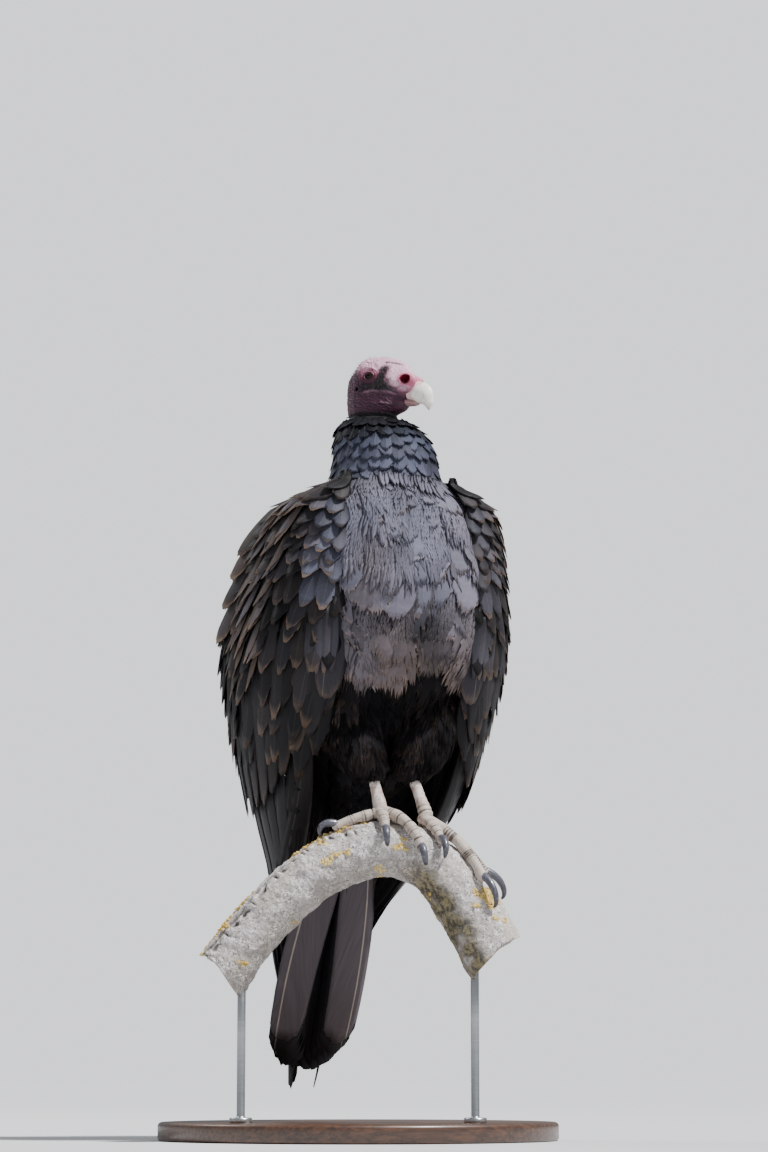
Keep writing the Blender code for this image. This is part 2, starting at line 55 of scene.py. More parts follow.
headPlace = Vector((-0.008, 0.018, 0.4365))  # middle of the skull
headTurn, headPitch = radians(40), radians(4.5)
headMatrix = Matrix.Translation(birdPlace + headPlace)
headMatrix = headMatrix @ Matrix.Rotation(headTurn, 4, "Z") @ Matrix.Rotation(headPitch, 4, "X")
wholeBird = 0.75  # height that the coat's bake map spans


def report(stage):
    print(f"{time.time() - startTime:6.1f} s  {stage}")


# Tools

def paint(red, green, blue):  # a screen colour as a linear one
    colour = (red, green, blue)
    return (*(((c / 255 + 0.055) / 1.055) ** 2.4 if c > 10 else c / 3295 for c in colour), 1)


def interpolate(table, at):  # smooth curve through the rows, by their first column
    rows = np.array(sorted(table))
    last = len(rows) - 1
    k = max(0, min(last - 1, np.sum(rows[:, 0] <= at) - 1))
    span = rows[k + 1][0] - rows[k][0]
    t = max(0.0, min(1.0, (at - rows[k][0]) / span))
    slopes = []
    for i in (k, k + 1):
        run = rows[min(last, i + 1)] - rows[max(0, i - 1)]
        slopes.append(span * run / run[0])
    values = rows[k] * (2 * t**3 - 3 * t**2 + 1) + slopes[0] * (t**3 - 2 * t**2 + t)
    return (values + rows[k + 1] * (3 * t**2 - 2 * t**3) + slopes[1] * (t**3 - t**2)).tolist()[1:]


def ramp(value, low, high):
    t = np.clip((value - low) / (high - low), 0, 1)
    return t * t * (3 - 2 * t)


def band(value, low, high, soft):
    return ramp(value, low - soft, low + soft) * (1 - ramp(value, high - soft, high + soft))


def hill(value, middle, width):
    return np.exp(-(((value - middle) / width) ** 2))


def unit(vectors):
    return vectors / np.maximum(np.linalg.norm(vectors, axis=-1, keepdims=True), 1e-9)


def ripple(points, size, seed, waves=9):
    rng = np.random.default_rng(seed)
    total = np.zeros(len(points))
    for i in range(waves):
        direction = unit(rng.normal(size=3))
        total += np.sin(points @ direction * (2 * pi / size) * rng.uniform(0.6, 1.6) + rng.uniform(0, 7))
    return total / waves**0.5


def vectorsOf(items, key):
    flat = np.empty(len(items) * 3)
    items.foreach_get(key, flat)
    return flat.reshape(-1, 3)


def pointsOf(mesh):
    return vectorsOf(mesh.vertices, "co")


def normalsOf(mesh):
    return vectorsOf(mesh.vertex_normals, "vector")


def movePoints(mesh, points):
    mesh.vertices.foreach_set("co", points.ravel())
    mesh.update()


def pushPoints(mesh, distance):
    movePoints(mesh, pointsOf(mesh) + normalsOf(mesh) * distance[:, None])


def setNumber(mesh, name, values):
    layer = mesh.attributes.get(name) or mesh.attributes.new(name, "FLOAT", "POINT")
    layer.data.foreach_set("value", np.asarray(values, dtype=np.float32))


def setMap(mesh, name, coords):
    layer = mesh.uv_layers.new(name=name)
    corner = np.empty(len(mesh.loops), dtype=np.int32)
    mesh.loops.foreach_get("vertex_index", corner)
    layer.data.foreach_set("uv", coords[corner].astype(np.float32).ravel())


def meshOf(name, points, faces):
    mesh = bpy.data.meshes.new(name)
    mesh.from_pydata([tuple(p) for p in points], [], [tuple(f) for f in faces])
    return mesh


def roundTurns(around):
    return [2 * pi * k / around for k in range(around)]


def ringed(name, points, around):  # rings of points in a row, closed at both ends
    faces = []
    for first in range(0, len(points) - around, around):
        for k in range(around):
            j = (k + 1) % around
            faces.append((first + k, first + j, first + around + j, first + around + k))
    faces += [list(range(around))[::-1], list(range(len(points) - around, len(points)))]
    return meshOf(name, points, faces)


def added(name, data):
    obj = bpy.data.objects.new(name, data)
    bpy.context.scene.collection.objects.link(obj)
    return obj


def place(name, mesh, material):
    mesh.materials.clear()
    mesh.materials.append(material)
    mesh.shade_smooth()
    return added(name, mesh)


def finished(obj):
    depsgraph = bpy.context.evaluated_depsgraph_get()
    made = bpy.data.meshes.new_from_object(obj.evaluated_get(depsgraph))
    made.name = obj.name
    obj.modifiers.clear()
    obj.data = made
    return obj


def assign(target, settings):
    for key, value in settings.items():
        setattr(target, key, value)


def attach(piece, slot, *replaced):
    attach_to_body(piece, "root")
    if replaced:
        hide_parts(*replaced)


@contextmanager
def editing(mesh):
    shape = bmesh.new()
    shape.from_mesh(mesh)
    yield shape
    shape.to_mesh(mesh)
    shape.free()


def joined(name, meshes):
    made = bpy.data.meshes.new(name)
    with editing(made) as shape:
        for mesh in meshes:
            shape.from_mesh(mesh)
        bmesh.ops.remove_doubles(shape, verts=shape.verts, dist=0.00001)
    return made


def outward(mesh):
    with editing(mesh) as shape:
        bmesh.ops.recalc_face_normals(shape, faces=shape.faces)
        if shape.calc_volume(signed=True) < 0:
            bmesh.ops.reverse_faces(shape, faces=shape.faces)
    return mesh


def modified(name, mesh, *steps):
    obj = added(name, mesh)
    for kind, settings in steps:
        assign(obj.modifiers.new(kind, kind), settings)
    made = finished(obj).data
    bpy.data.objects.remove(obj)
    return made


def remeshed(name, mesh, size, smooth):
    fuse = ("REMESH", {"mode": "VOXEL", "voxel_size": size})
    return modified(name, mesh, fuse, ("SMOOTH", {"factor": 0.5, "iterations": smooth}))


def boolean(mesh, other, operation):
    cutter = added("cutter", other)
    made = modified("body", mesh, ("BOOLEAN", {"operation": operation, "object": cutter}))
    bpy.data.objects.remove(cutter)
    return made


def ball(centre, radii, turn=None):
    mesh = bpy.data.meshes.new("ball")
    with editing(mesh) as shape:
        bmesh.ops.create_uvsphere(shape, u_segments=24, v_segments=16, radius=1)
        bmesh.ops.scale(shape, vec=radii, verts=shape.verts)
        if turn:
            bmesh.ops.transform(shape, matrix=turn, verts=shape.verts)
        bmesh.ops.translate(shape, vec=centre, verts=shape.verts)
    return mesh


def tube(path, radii, around):
    path = [Vector(p) for p in path]
    points, side = [], None
    for i, point in enumerate(path):
        ahead = (path[min(i + 1, len(path) - 1)] - path[max(i - 1, 0)]).normalized()
        side = ahead.orthogonal() if side is None else side - ahead * side.dot(ahead)
        side.normalize()
        up = ahead.cross(side)
        points += [point + radii[i] * (side * cos(a) + up * sin(a)) for a in roundTurns(around)]
    return ringed("tube", points, around)


def smoothPath(points, count):
    points = [Vector(p) for p in points]
    ends = [points[0] * 2 - points[1], *points, points[-1] * 2 - points[-2]]
    path = []
    for k in range(count + 1):
        at = k / count * (len(points) - 1)
        i = min(int(at), len(points) - 2)
        t = at - i
        a, b, c, d = ends[i:i + 4]
        bend = (2 * a - 5 * b + 4 * c - d) * t**2 + (3 * b - a - 3 * c + d) * t**3
        path.append(0.5 * (2 * b + (c - a) * t + bend))
    return path


# Node tools: a wire is one output of a node, and an expression on wires adds its Math nodes

class Wire:
    def __init__(self, owner, socket):
        self.owner = owner
        self.socket = socket

    def __getitem__(self, name):
        return Wire(self.owner, self.socket.node.outputs[name])

    def calculate(self, operation, first, second=0.0):
        return self.owner.node("ShaderNodeMath", {"operation": operation}, {0: first, 1: second})

    def __add__(self, other):
        return self.calculate("ADD", self, other)

    def __sub__(self, other):
        return self.calculate("SUBTRACT", self, other)

    def __rsub__(self, other):
        return self.calculate("SUBTRACT", other, self)

    def __mul__(self, other):
        return self.calculate("MULTIPLY", self, other)

    def __pow__(self, other):
        return self.calculate("POWER", self, other)

    def __abs__(self):
        return self.calculate("ABSOLUTE", self)

    __radd__ = __add__
    __rmul__ = __mul__


class NodeTree:
    def __init__(self, tree):
        self.tree = tree

    def node(self, kind, settings=None, sockets=None, out=0):
        made = self.tree.nodes.new(kind)
        assign(made, settings or {})
        for key, value in (sockets or {}).items():
            if isinstance(value, Wire):
                self.tree.links.new(value.socket, made.inputs[key])
            else:
                made.inputs[key].default_value = value
        return Wire(self, made.outputs[out]) if made.outputs else made


class Look(NodeTree):
    def __init__(self, name, **sockets):
        self.material = bpy.data.materials.new(name)
        self.material.use_nodes = True
        super().__init__(self.material.node_tree)
        self.shader = self.tree.nodes["Principled BSDF"]
        for socket, value in sockets.items():
            self.shader.inputs[socket.replace("_", " ")].default_value = value

    def feed(self, socket, value):
        self.tree.links.new(value.socket, self.shader.inputs[socket])

    def mix(self, factor, first, second, blend="MIX"):
        settings = {"data_type": "RGBA", "blend_type": blend}
        return self.node("ShaderNodeMix", settings, {0: factor, 6: first, 7: second}, 2)

    def over(self, colour, *layers):  # each layer is where it shows and its colour
        for factor, layer in layers:
            colour = self.mix(factor, colour, layer)
        return colour

    def number(self, name):
        return self.node("ShaderNodeAttribute", {"attribute_name": name}, out=2)

    def place(self):
        return self.node("ShaderNodeTexCoord", out=3)

    def stretched(self, vector, scale):
        return self.node("ShaderNodeMapping", {}, {0: vector, "Scale": scale})

    def noise(self, vector, scale, detail=3.0, roughness=0.55, distortion=0.0):
        sockets = {"Vector": vector, "Scale": scale, "Detail": detail, "Roughness": roughness}
        return self.node("ShaderNodeTexNoise", {}, {**sockets, "Distortion": distortion})

    def cells(self, vector, scale, feature="F1"):
        return self.node("ShaderNodeTexVoronoi", {"feature": feature}, {"Vector": vector, "Scale": scale})

    def smooth(self, value, low, high):
        sockets = {"Value": value, "From Min": low, "From Max": high}
        return self.node("ShaderNodeMapRange", {"interpolation_type": "SMOOTHSTEP"}, sockets)

    def vector(self, x, y, z):
        return self.node("ShaderNodeCombineXYZ", {}, {0: x, 1: y, 2: z})

    def finish(self, colour, roughness=None, relief=None):  # relief is its height, strength and distance
        self.feed("Base Color", colour)
        if roughness is not None:
            self.feed("Roughness", roughness)
        if relief is not None:
            sockets = dict(zip(("Height", "Strength", "Distance"), relief))
            self.feed("Normal", self.node("ShaderNodeBump", {}, sockets))
        return self.material


# Plumage finish. Each feather carries its own numbers: tint (its own brightness), blue (a painted bluish
# sheen), brown and dark.

plumageLooks = {
    # roughness, pale edge, pale shaft, relief, brightness at the root (painted shade where the feather above
    # covers it), variety, brightness, gloss
    "ruffFeather": (0.5, 0.06, 0.02, 0.4, 0.5, 0.42, 2.0, 0.12),
    "breastFeather": (0.62, 0.3, 0.0, 0.3, 0.92, 0.2, 1.9, 0.16),
    "bellyFeather": (0.75, 0.25, 0.0, 0.6, 0.6, 0.5, 1.1, 0.08),
    "covertFeather": (0.46, 0.95, 0.14, 0.5, 0.3, 0.62, 1.0, 0.15),
    "quillFeather": (0.44, 0.35, 0.4, 0.4, 0.8, 0.4, 0.9, 0.14),
    "tailFeather": (0.55, 0.05, 1.0, 0.4, 0.9, 0.1, 1.25, 0.12),
}
plumageColours = {
    "slate": paint(88, 87, 98),
    # the feathers' bluish sheen, painted into the colour
    "blue": paint(62, 70, 94),
    "brown": paint(88, 74, 67),
    "black": paint(8, 8, 12),
    "edge": paint(134, 110, 90),
    "shaft": paint(158, 148, 136),
}


def plumage(name):
    rough, paleEdge, paleShaft, relief, rootShade, vary, bright, gloss = plumageLooks[name]
    look, tones = Look(name, Specular_IOR_Level=gloss), plumageColours
    vane = look.node("ShaderNodeSeparateXYZ", {}, {0: look.node("ShaderNodeUVMap", {"uv_map": "vane"})})
    across, along = vane["X"], vane["Y"]
    tint = look.number("tint")
    dark = look.number("dark")
    out = abs(across * 2 - 1 - look.number("lean"))
    barbs = look.noise(look.vector((along - out * 0.3) * 60, out * 1.5, tint * 60), 1.0, 4.0, 0.7)
    arcs = look.noise(look.vector((along - out * out * 0.18) * 9, out * 0.4, tint * 40), 1.0, 2.0)
    patchy = look.noise(look.place(), 60.0, 3.0)
    rim = look.smooth(abs(across * 2 - 1) ** 4 * 0.55 + along**6 * 0.9 + (barbs - 0.5) * 0.35, 0.3, 0.85)
    rim = rim * look.smooth(patchy + tint * 0.45, 0.5, 0.9)
    shaft = 1 - look.smooth(out, 0.015, 0.06)
    base = look.over(
        tones["slate"],
        (look.number("blue"), tones["blue"]),
        (look.number("brown"), tones["brown"]),
        (dark, tones["black"]),
        (rim * paleEdge * (1 - dark * 0.65), tones["edge"]),
        (shaft * paleShaft * (1 - dark * 0.8), tones["shaft"]),
    )
    light = (0.5 + barbs * 0.65) * (0.8 + arcs * 0.4) * (1 + (tint - 0.5) * 2 * vary) * bright
    # painted shade: each feather darker towards its root, under the feather above
    light = light * (rootShade + look.smooth(along, 0.0, 0.8) * (1.15 - rootShade))
    colour = look.mix(1.0, base, look.vector(light, light, light), "MULTIPLY")
    return look.finish(colour, rough + 0.22 * barbs - 0.05, (barbs + shaft * 0.9, relief, 0.0006))


# Feathers

shaftRise = 0.0006  # height of the shaft over the vane
bakePatch = 0.003  # size of a feather's place in the bake map


def featherGrid(rows, columns):
    top = np.arange((rows + 1) * (columns + 1)).reshape(rows + 1, columns + 1)
    under = top.copy()
    inner = np.arange((rows - 1) * (columns - 1)).reshape(rows - 1, columns - 1)
    under[1:-1, 1:-1] = top.size + inner
    quads = []
    for grid, corners in ((top, (0, 1, 2, 3)), (under, (0, 3, 2, 1))):
        cell = (grid[:-1, :-1], grid[:-1, 1:], grid[1:, 1:], grid[1:, :-1])
        quads.append(np.stack([cell[c] for c in corners], -1).reshape(-1, 4))
    return np.concatenate(quads)


def sampled(lines, at):
    last = lines.shape[1] - 1
    at = np.clip(at, 0, 1.15) * last
    first = np.minimum(at.astype(int), last - 1)
    part = (at - first)[..., None]
    row = np.arange(len(lines))[:, None, None]
    return lines[row, first] * (1 - part) + lines[row, first + 1] * part


featherShapes = {
    # rows, columns, width at the root, widest place, width at the tip, roundness, fray, side fray, thickness
    "scale": (6, 8, 0.5, 0.6, 0.66, 0.26, 0.022, 0.04, 0.0007),
    "soft": (7, 24, 0.5, 0.66, 0.76, 0.32, 0.06, 0.03, 0.0002),
    "ragged": (5, 18, 0.5, 0.6, 0.8, 0.26, 0.2, 0.14, 0.0004),
    "wisp": (4, 2, 0.6, 0.5, 0.3, 0.25, 0.1, 0.05, 0.0002),
    "long": (9, 6, 0.4, 0.5, 0.56, 0.1, 0.02, 0.03, 0.0009),
    "quill": (18, 6, 0.22, 0.55, 0.5, 0.045, 0.01, 0.015, 0.0011),
    "steering": (16, 8, 0.34, 0.42, 0.88, 0.06, 0.008, 0.008, 0.0011),
}


class Coat:
    def __init__(self, name, shape, seed):
        self.name = name
        self.shape = featherShapes[shape]
        self.rng = np.random.default_rng(seed)
        self.feathers = []
        self.numbers = {"tint": [], "blue": [], "brown": [], "dark": [], "lean": []}

    def add(self, centre, normal, width, marks, camber, roll):
        centre = np.asarray(centre)
        ahead = unit(np.gradient(centre, axis=0))
        side = unit(np.cross(ahead, normal))
        self.feathers.append((centre, side, unit(np.cross(side, ahead)), width, camber, roll))
        for key, values in self.numbers.items():
            values.append(marks.get(key, 0.0))

    def build(self, strips):
        rows, columns, rootWidth, widest, tipWidth, roundness, fray, sideFray, thickness = self.shape
        *lines, widths, camber, roll = (np.array(values) for values in zip(*self.feathers))
        widths, camber, roll = (values[:, None, None] for values in (widths, camber, roll))
        count = len(widths)
        t = np.linspace(0, 1, rows + 1)[None, :, None]
        s = np.linspace(-1, 1, columns + 1)[None, None, :]
        swell = rootWidth + (1 - rootWidth) * np.sin(pi / 2 * np.minimum(1, t / widest))
        taper = 1 - (1 - tipWidth) * np.maximum(0, (t - widest) / (1 - widest)) ** 2.2
        teeth = self.rng.uniform(-1, 1, (count, 1, columns + 1))
        teeth += 0.5 * np.where(np.arange(columns + 1) % 2, 1, -1)
        along = t * (1 - roundness * s**2 * t**2) + fray * teeth * t**5
        ragged = 1 + sideFray * self.rng.uniform(-1, 1, (count, rows + 1, 1)) * np.abs(s) ** 3
        across = s * ragged * swell * taper * widths / 2
        centre, side, normal = (sampled(line, along) for line in lines)
        height = -camber * widths * (across / widths * 2) ** 2 + roll * across * t
        height = height + shaftRise * hill(s, 0, 0.12) * (1 - t)
        half = thickness / 2 * (1 - s**4) * np.sin(pi * np.clip(t, 0.02, 0.98)) ** 0.3
        top, under = (centre + side * across[..., None] + normal * (height + face * half)[..., None]
                      for face in (1, -1))
        inner = under[:, 1:-1, 1:-1].reshape(count, -1, 3)
        points = np.concatenate([top.reshape(count, -1, 3), inner], 1)
        faces = featherGrid(rows, columns)[None] + (np.arange(count) * points.shape[1])[:, None, None]
        flat = np.stack(np.broadcast_arrays(s / 2 + 0.5, t), -1)[0]
        vane = np.concatenate([flat.reshape(-1, 2), flat[1:-1, 1:-1].reshape(-1, 2)])
        mesh = meshOf(self.name, points.reshape(-1, 3) + np.array(birdPlace), faces.reshape(-1, 4))
        setMap(mesh, "vane", np.tile(vane, (count, 1)))
        if strips:
            slots = np.stack([np.arange(count) + 0.08, np.full(count, 0.01 * count)], -1)
            patch = (slots[:, None] + vane * (0.84, 0.98 * count)) / count
        else:
            patch = unwrapped(lines[0][:, 0])[:, None] + bakePatch * (vane - 0.5)
        setMap(mesh, "OFBake", patch.reshape(-1, 2))
        for key, values in self.numbers.items():
            setNumber(mesh, key, np.repeat(values, points.shape[1]))
        return mesh

    def finish(self, look, slot, *replaced, strips=False):
        attach(place(self.name, self.build(strips), finishes[look]), slot, *replaced)
        report(f"{self.name}: {len(self.feathers)} feathers")


def unwrapped(points):  # place in the bake map, by turn round the body and height
    turn = np.arctan2(points[:, 0], -(points[:, 1] - 0.03)) / (2 * pi)
    return np.stack([0.5 + 0.96 * turn, 0.02 + 0.96 * (points[:, 2] + 0.27) / wholeBird], -1)


# Markings, shared by the skin and the coat: places in the bird's own frame

breastLobes = (  # place across, lower edge, half width, height, rise
    (-0.027, 0.271, 0.021, 0.03, 0.004), (-0.027, 0.226, 0.027, 0.034, 0.006),
    (-0.027, 0.15, 0.032, 0.04, 0.009), (0.05, 0.273, 0.02, 0.026, 0.003),
    (0.072, 0.24, 0.022, 0.028, 0.005), (0.022, 0.168, 0.021, 0.03, 0.006),
    (0.078, 0.152, 0.032, 0.04, 0.0085), (0.018, 0.236, 0.018, 0.022, 0.002),
    (-0.07, 0.24, 0.022, 0.03, 0.004), (-0.041, 0.356, 0.02, 0.024, 0.0035),
    (-0.008, 0.357, 0.021, 0.024, 0.004), (-0.046, 0.34, 0.019, 0.022, 0.0035),
    (-0.012, 0.329, 0.025, 0.024, 0.003), (0.034, 0.35, 0.02, 0.024, 0.0035),
    (0.03, 0.32, 0.022, 0.024, 0.0025),
)


def lobes(points):
    x, y, z = np.atleast_2d(points).T
    front = ramp(-y, -0.03, 0.0)
    rise, under, rim = np.zeros((3, len(x)))
    for at, low, wide, tall, high in breastLobes:
        aside = (x - at) / wide
        inside = np.clip(1 - aside**2, 0, 1) * front
        up = z - low - 0.45 * wide * aside**2
        above = ramp(up, -0.001, 0.003)
        strong = min(1.0, high / 0.006)
        rise = np.maximum(rise, high * inside**0.5 * above * hill(up, 0, tall))
        # under: painted shade below each lobe's lower edge
        under = np.maximum(under, inside * (1 - above) * hill(up, 0, 0.004 + 2.8 * high) * strong)
        rim = np.maximum(rim, inside * above * hill(up, 0, 0.01) * strong)
    return rise, under * (1 - rim), rim


def markings(points):
    points = np.atleast_2d(points)
    x, y, z = points.T
    front = ramp(-y, -0.1, 0.02)
    patchy = ripple(points, 0.075, 3) * 0.5
    fine = ripple(points, 0.03, 5) * 0.5
    neck = ramp(z, 0.32, 0.365)
    breast = front * band(z, 0.19, 0.33, 0.03)
    # darker belly: its dark plumage, with painted shade under the overhanging breast
    belly = 1 - ramp(z + 0.01 * patchy, 0.122, 0.15)
    # darker under the jaw, and on the neck's +X side: dark down plus painted shadow of the head
    jawDarkAndShade = ramp(z, 0.385, 0.405) + 0.35 * ramp(x, 0.01, 0.035) * neck
    # blue: a painted bluish sheen, strongest on the neck and the top of the ruff
    blue = 0.22 * breast + 0.55 * neck + 0.18 * patchy + 0.4 * ramp(z, 0.375, 0.395)
    brown = 0.16 + 0.4 * (1 - ramp(z + 0.05 * patchy, 0.165, 0.26)) + 0.5 * patchy - 0.3 * neck
    _, under, rim = lobes(points)
    lower = 1 - ramp(z + 0.02 * patchy, 0.17, 0.255)
    middle = hill(x, 0.014, 0.026) * (1 - ramp(z, 0.19, 0.245))
    # the lobes' painted shade below their edges darkens the feathers there
    dark = 0.2 + 0.26 * lower + 0.46 * middle + 0.6 * under - 0.2 * rim + 0.9 * belly + 0.12 * fine
    # the ruff darker towards its top: dark plumage plus painted shadow of the head
    collar = 0.2 * ramp(z, 0.35, 0.38) + 0.4 * ramp(z, 0.382, 0.396)
    dark += 0.2 * neck + collar + 0.6 * jawDarkAndShade + 0.6 * (1 - front)
    return {"blue": np.clip(blue, 0, 1), "brown": np.clip(brown, 0, 1), "dark": np.clip(dark, 0, 0.98)}


def marksAt(point, rng):
    points = np.asarray(point)[None]
    marks = {key: float(values[0]) for key, values in markings(points).items()}
    tint = 0.5 + 0.35 * ripple(points, 0.055, 41)[0] + rng.normal(0, 0.16)
    return {**marks, "tint": float(np.clip(tint, 0, 1))}


# Skin: head, neck, trunk, wings' arms, thighs, legs and feet as one closed surface

skinValues = {
    "coatDepth": 0.004,  # how far the skin lies inside the solids
    "armDepth": 0.0125,
    "bodyVoxel": 0.004,
    "headVoxel": 0.00065,
    "footVoxel": 0.00092,
}
bodyNodes = ["trunk", "neck", "thigh_left", "thigh_right"]
armNodes = ["wing_arm_left", "wing_arm_right"]
legNodes = ["tarsus_left", "tarsus_right", "foot_left", "foot_right"]
sides = {"left": 1, "right": -1}


def fromNodes(name, names, size):
    mesh = joined(name, [nodes[n].data for n in names])
    mesh.transform(Matrix.Translation(-birdPlace))
    return remeshed(name, mesh, size, 8)


def treeOf(mesh):
    return BVHTree.FromPolygons([v.co for v in mesh.vertices], [tuple(p.vertices) for p in mesh.polygons])


headValues = {
    "eye": (0.008, 0.0054),  # ahead and up from the middle of the skull
    "ear": (-0.004, -0.008),
    "nostril": (0.044, 0.003),
    "nostrilSize": (0.0062, 0.0049),
    "nostrilTurn": radians(-28),
    "middleForms": (  # place and radii: chin, root of the bill
        ((0, -0.004, -0.036), (0.0205, 0.0255, 0.016)),
        ((0, -0.0455, -0.004), (0.008, 0.008, 0.01)),
    ),
    "sideForms": (  # round the eye, round the nostril, corner of the mouth
        ((0.0158, -0.008, 0.0054), (0.0068, 0.008, 0.0074)),
        ((0.008, -0.044, 0.002), (0.0058, 0.01, 0.008)),
        ((0.0082, -0.041, -0.0068), (0.0052, 0.0075, 0.0042)),
    ),
    "nostrilPocket": (0.0175, 0.016),  # place aside, half depth
    "earPocket": (0.0236, (0.005, 0.0018, 0.0023)),
    "rims": (  # round the ear and the nostril: place, half width, half height, thickness
        ((-0.004, -0.008), 0.0029, 0.0032, 0.0008),
        ((0.044, 0.003), 0.007, 0.0057, 0.001),
    ),
    "folds": (  # places ahead and up in mm, thickness
        (((-4.5, 4), (-3, 10.5), (3, 14.2), (10, 13.4), (15, 9.0), (17.5, 4.5)), 0.0014),
        (((-2.5, 1), (1, -3.2), (7, -4.8), (13, -3.2), (16.5, 0.5)), 0.0011),
        (((-7.5, 9), (-7.0, 1), (-3, -5.0), (5, -8.0), (13, -7)), 0.001),
        (((-10, 13), (-6, 18), (2, 20.5), (10, 20)), 0.0011),
        (((-3, -13), (4, -10.4), (12, -8.2), (21, -7.9), (30, -8.4), (38, -11), (45, -16)), 0.0015),
        (((2, -22), (16, -21.6), (30, -22), (40, -22.5)), 0.002),
        (((31, 1), (35, 5.5), (41, 9.0), (47, 8.0), (51, 4)), 0.0009),
    ),
    "wrinkle": 0.0031,
    "lids": (  # distance from the eye, width, height
        (0.0045, 0.0006, 0.0011), (0.0056, 0.0004, -0.0005), (0.0066, 0.0005, 0.0007),
        (0.0077, 0.0005, -0.0004), (0.0088, 0.0005, 0.0003),
    ),
}


def headForms():
    base = joined("headBase", [nodes["head"].data])
    base.transform(headMatrix.inverted())
    tree = treeOf(base)

    def onSide(side, ahead, height, out):
        hit = tree.ray_cast(Vector((side * 0.06, -ahead, height)), Vector((-side, 0, 0)))[0]
        return Vector((side * (abs(hit.x) + out if hit else 0.004), -ahead, height))

    steps = 24
    forms = [base] + [ball(*form) for form in headValues["middleForms"]]
    for side in sides.values():
        forms += [ball((side * x, y, z), radii) for (x, y, z), radii in headValues["sideForms"]]
        for outline, thick in headValues["folds"]:
            path = smoothPath([onSide(side, a / 1000, z / 1000, -0.0004) for a, z in outline], steps)
            widths = [thick * (0.35 + 0.65 * sin(pi * k / steps)) for k in range(steps + 1)]
            forms.append(tube(path, widths, 8))
        for (ahead, up), wide, high, thick in headValues["rims"]:
            ring = [onSide(side, ahead + wide * cos(a), up + high * sin(a), -0.0003)
                    for a in (*roundTurns(steps), 2 * pi)]
            forms.append(tube(ring, [thick] * (steps + 1), 8))
    return forms


def eyeReach(ahead, z):
    return np.hypot((ahead - headValues["eye"][0]) / 1.1, (z - headValues["eye"][1]) / 0.92)


def wrinkles(local):
    x, y, z = local.T
    ahead = -y
    wobble = ripple(local, 0.012, 11) * 0.0011
    broken = 0.75 + 0.35 * ripple(local, 0.0055, 12)
    rear = ramp(-ahead, -0.002, 0.01)
    low = 1 - ramp(z, -0.018, -0.008)
    folds = np.sin(2 * pi * (z + 0.25 * ahead + wobble) / headValues["wrinkle"]) * broken
    folds *= np.clip(rear + low, 0, 1) * (1 - ramp(ahead, 0.026, 0.034))
    crossed = np.sin(2 * pi * (ahead + wobble) / 0.004) * band(z, -0.016, 0.004, 0.004)
    crossed *= (1 - ramp(ahead, 0.022, 0.028)) * ramp(eyeReach(ahead, z), 0.008, 0.01)
    brow = np.sin(2 * pi * (ahead * 0.8 + z * 0.6 + wobble) / 0.0034) * ramp(z, 0.01, 0.016)
    brow *= 1 - ramp(ahead, 0.012, 0.018)
    return folds + 0.45 * crossed + 0.55 * brow * (1 - rear)


def headSculpted():
    mesh = remeshed("headSkin", joined("headForms", headForms()), skinValues["headVoxel"], 5)
    aside, deep = headValues["nostrilPocket"]
    slant = Matrix.Rotation(headValues["nostrilTurn"], 4, "X")
    for side in sides.values():
        for (ahead, up), out, radii, turn in (
            (headValues["nostril"], aside, (deep, *headValues["nostrilSize"]), slant),
            (headValues["ear"], *headValues["earPocket"], None),
        ):
            mesh = boolean(mesh, ball((side * out, -ahead, up), radii, turn), "DIFFERENCE")
    points = pointsOf(mesh)
    x, y, z = points.T
    eye = eyeReach(-y, z)
    move = -0.0042 * (1 - ramp(eye, 0.0032, 0.0038))
    for radius, wide, high in headValues["lids"]:
        move += high * hill(eye, radius, wide)
    move *= ramp(np.abs(x), 0.01, 0.014)
    move += 0.0004 * wrinkles(points)
    move -= 0.0007 * hill(z, foreheadLine(-y), 0.0008) * band(-y, 0.018, 0.036, 0.002)
    move += 0.0001 * (ripple(points, 0.0022, 13) + 0.8 * ripple(points, 0.0013, 14))  # pores
    pushPoints(mesh, move)
    mesh.transform(Matrix.Translation(-birdPlace) @ headMatrix)
    return mesh


def foreheadLine(ahead):
    return 0.0205 - 0.12 * np.maximum(0, ahead - 0.024)


def inHead(points):  # from the bird's frame to the head's
    return (points - np.array(headMatrix.to_translation() - birdPlace)) @ np.array(headMatrix.to_3x3())


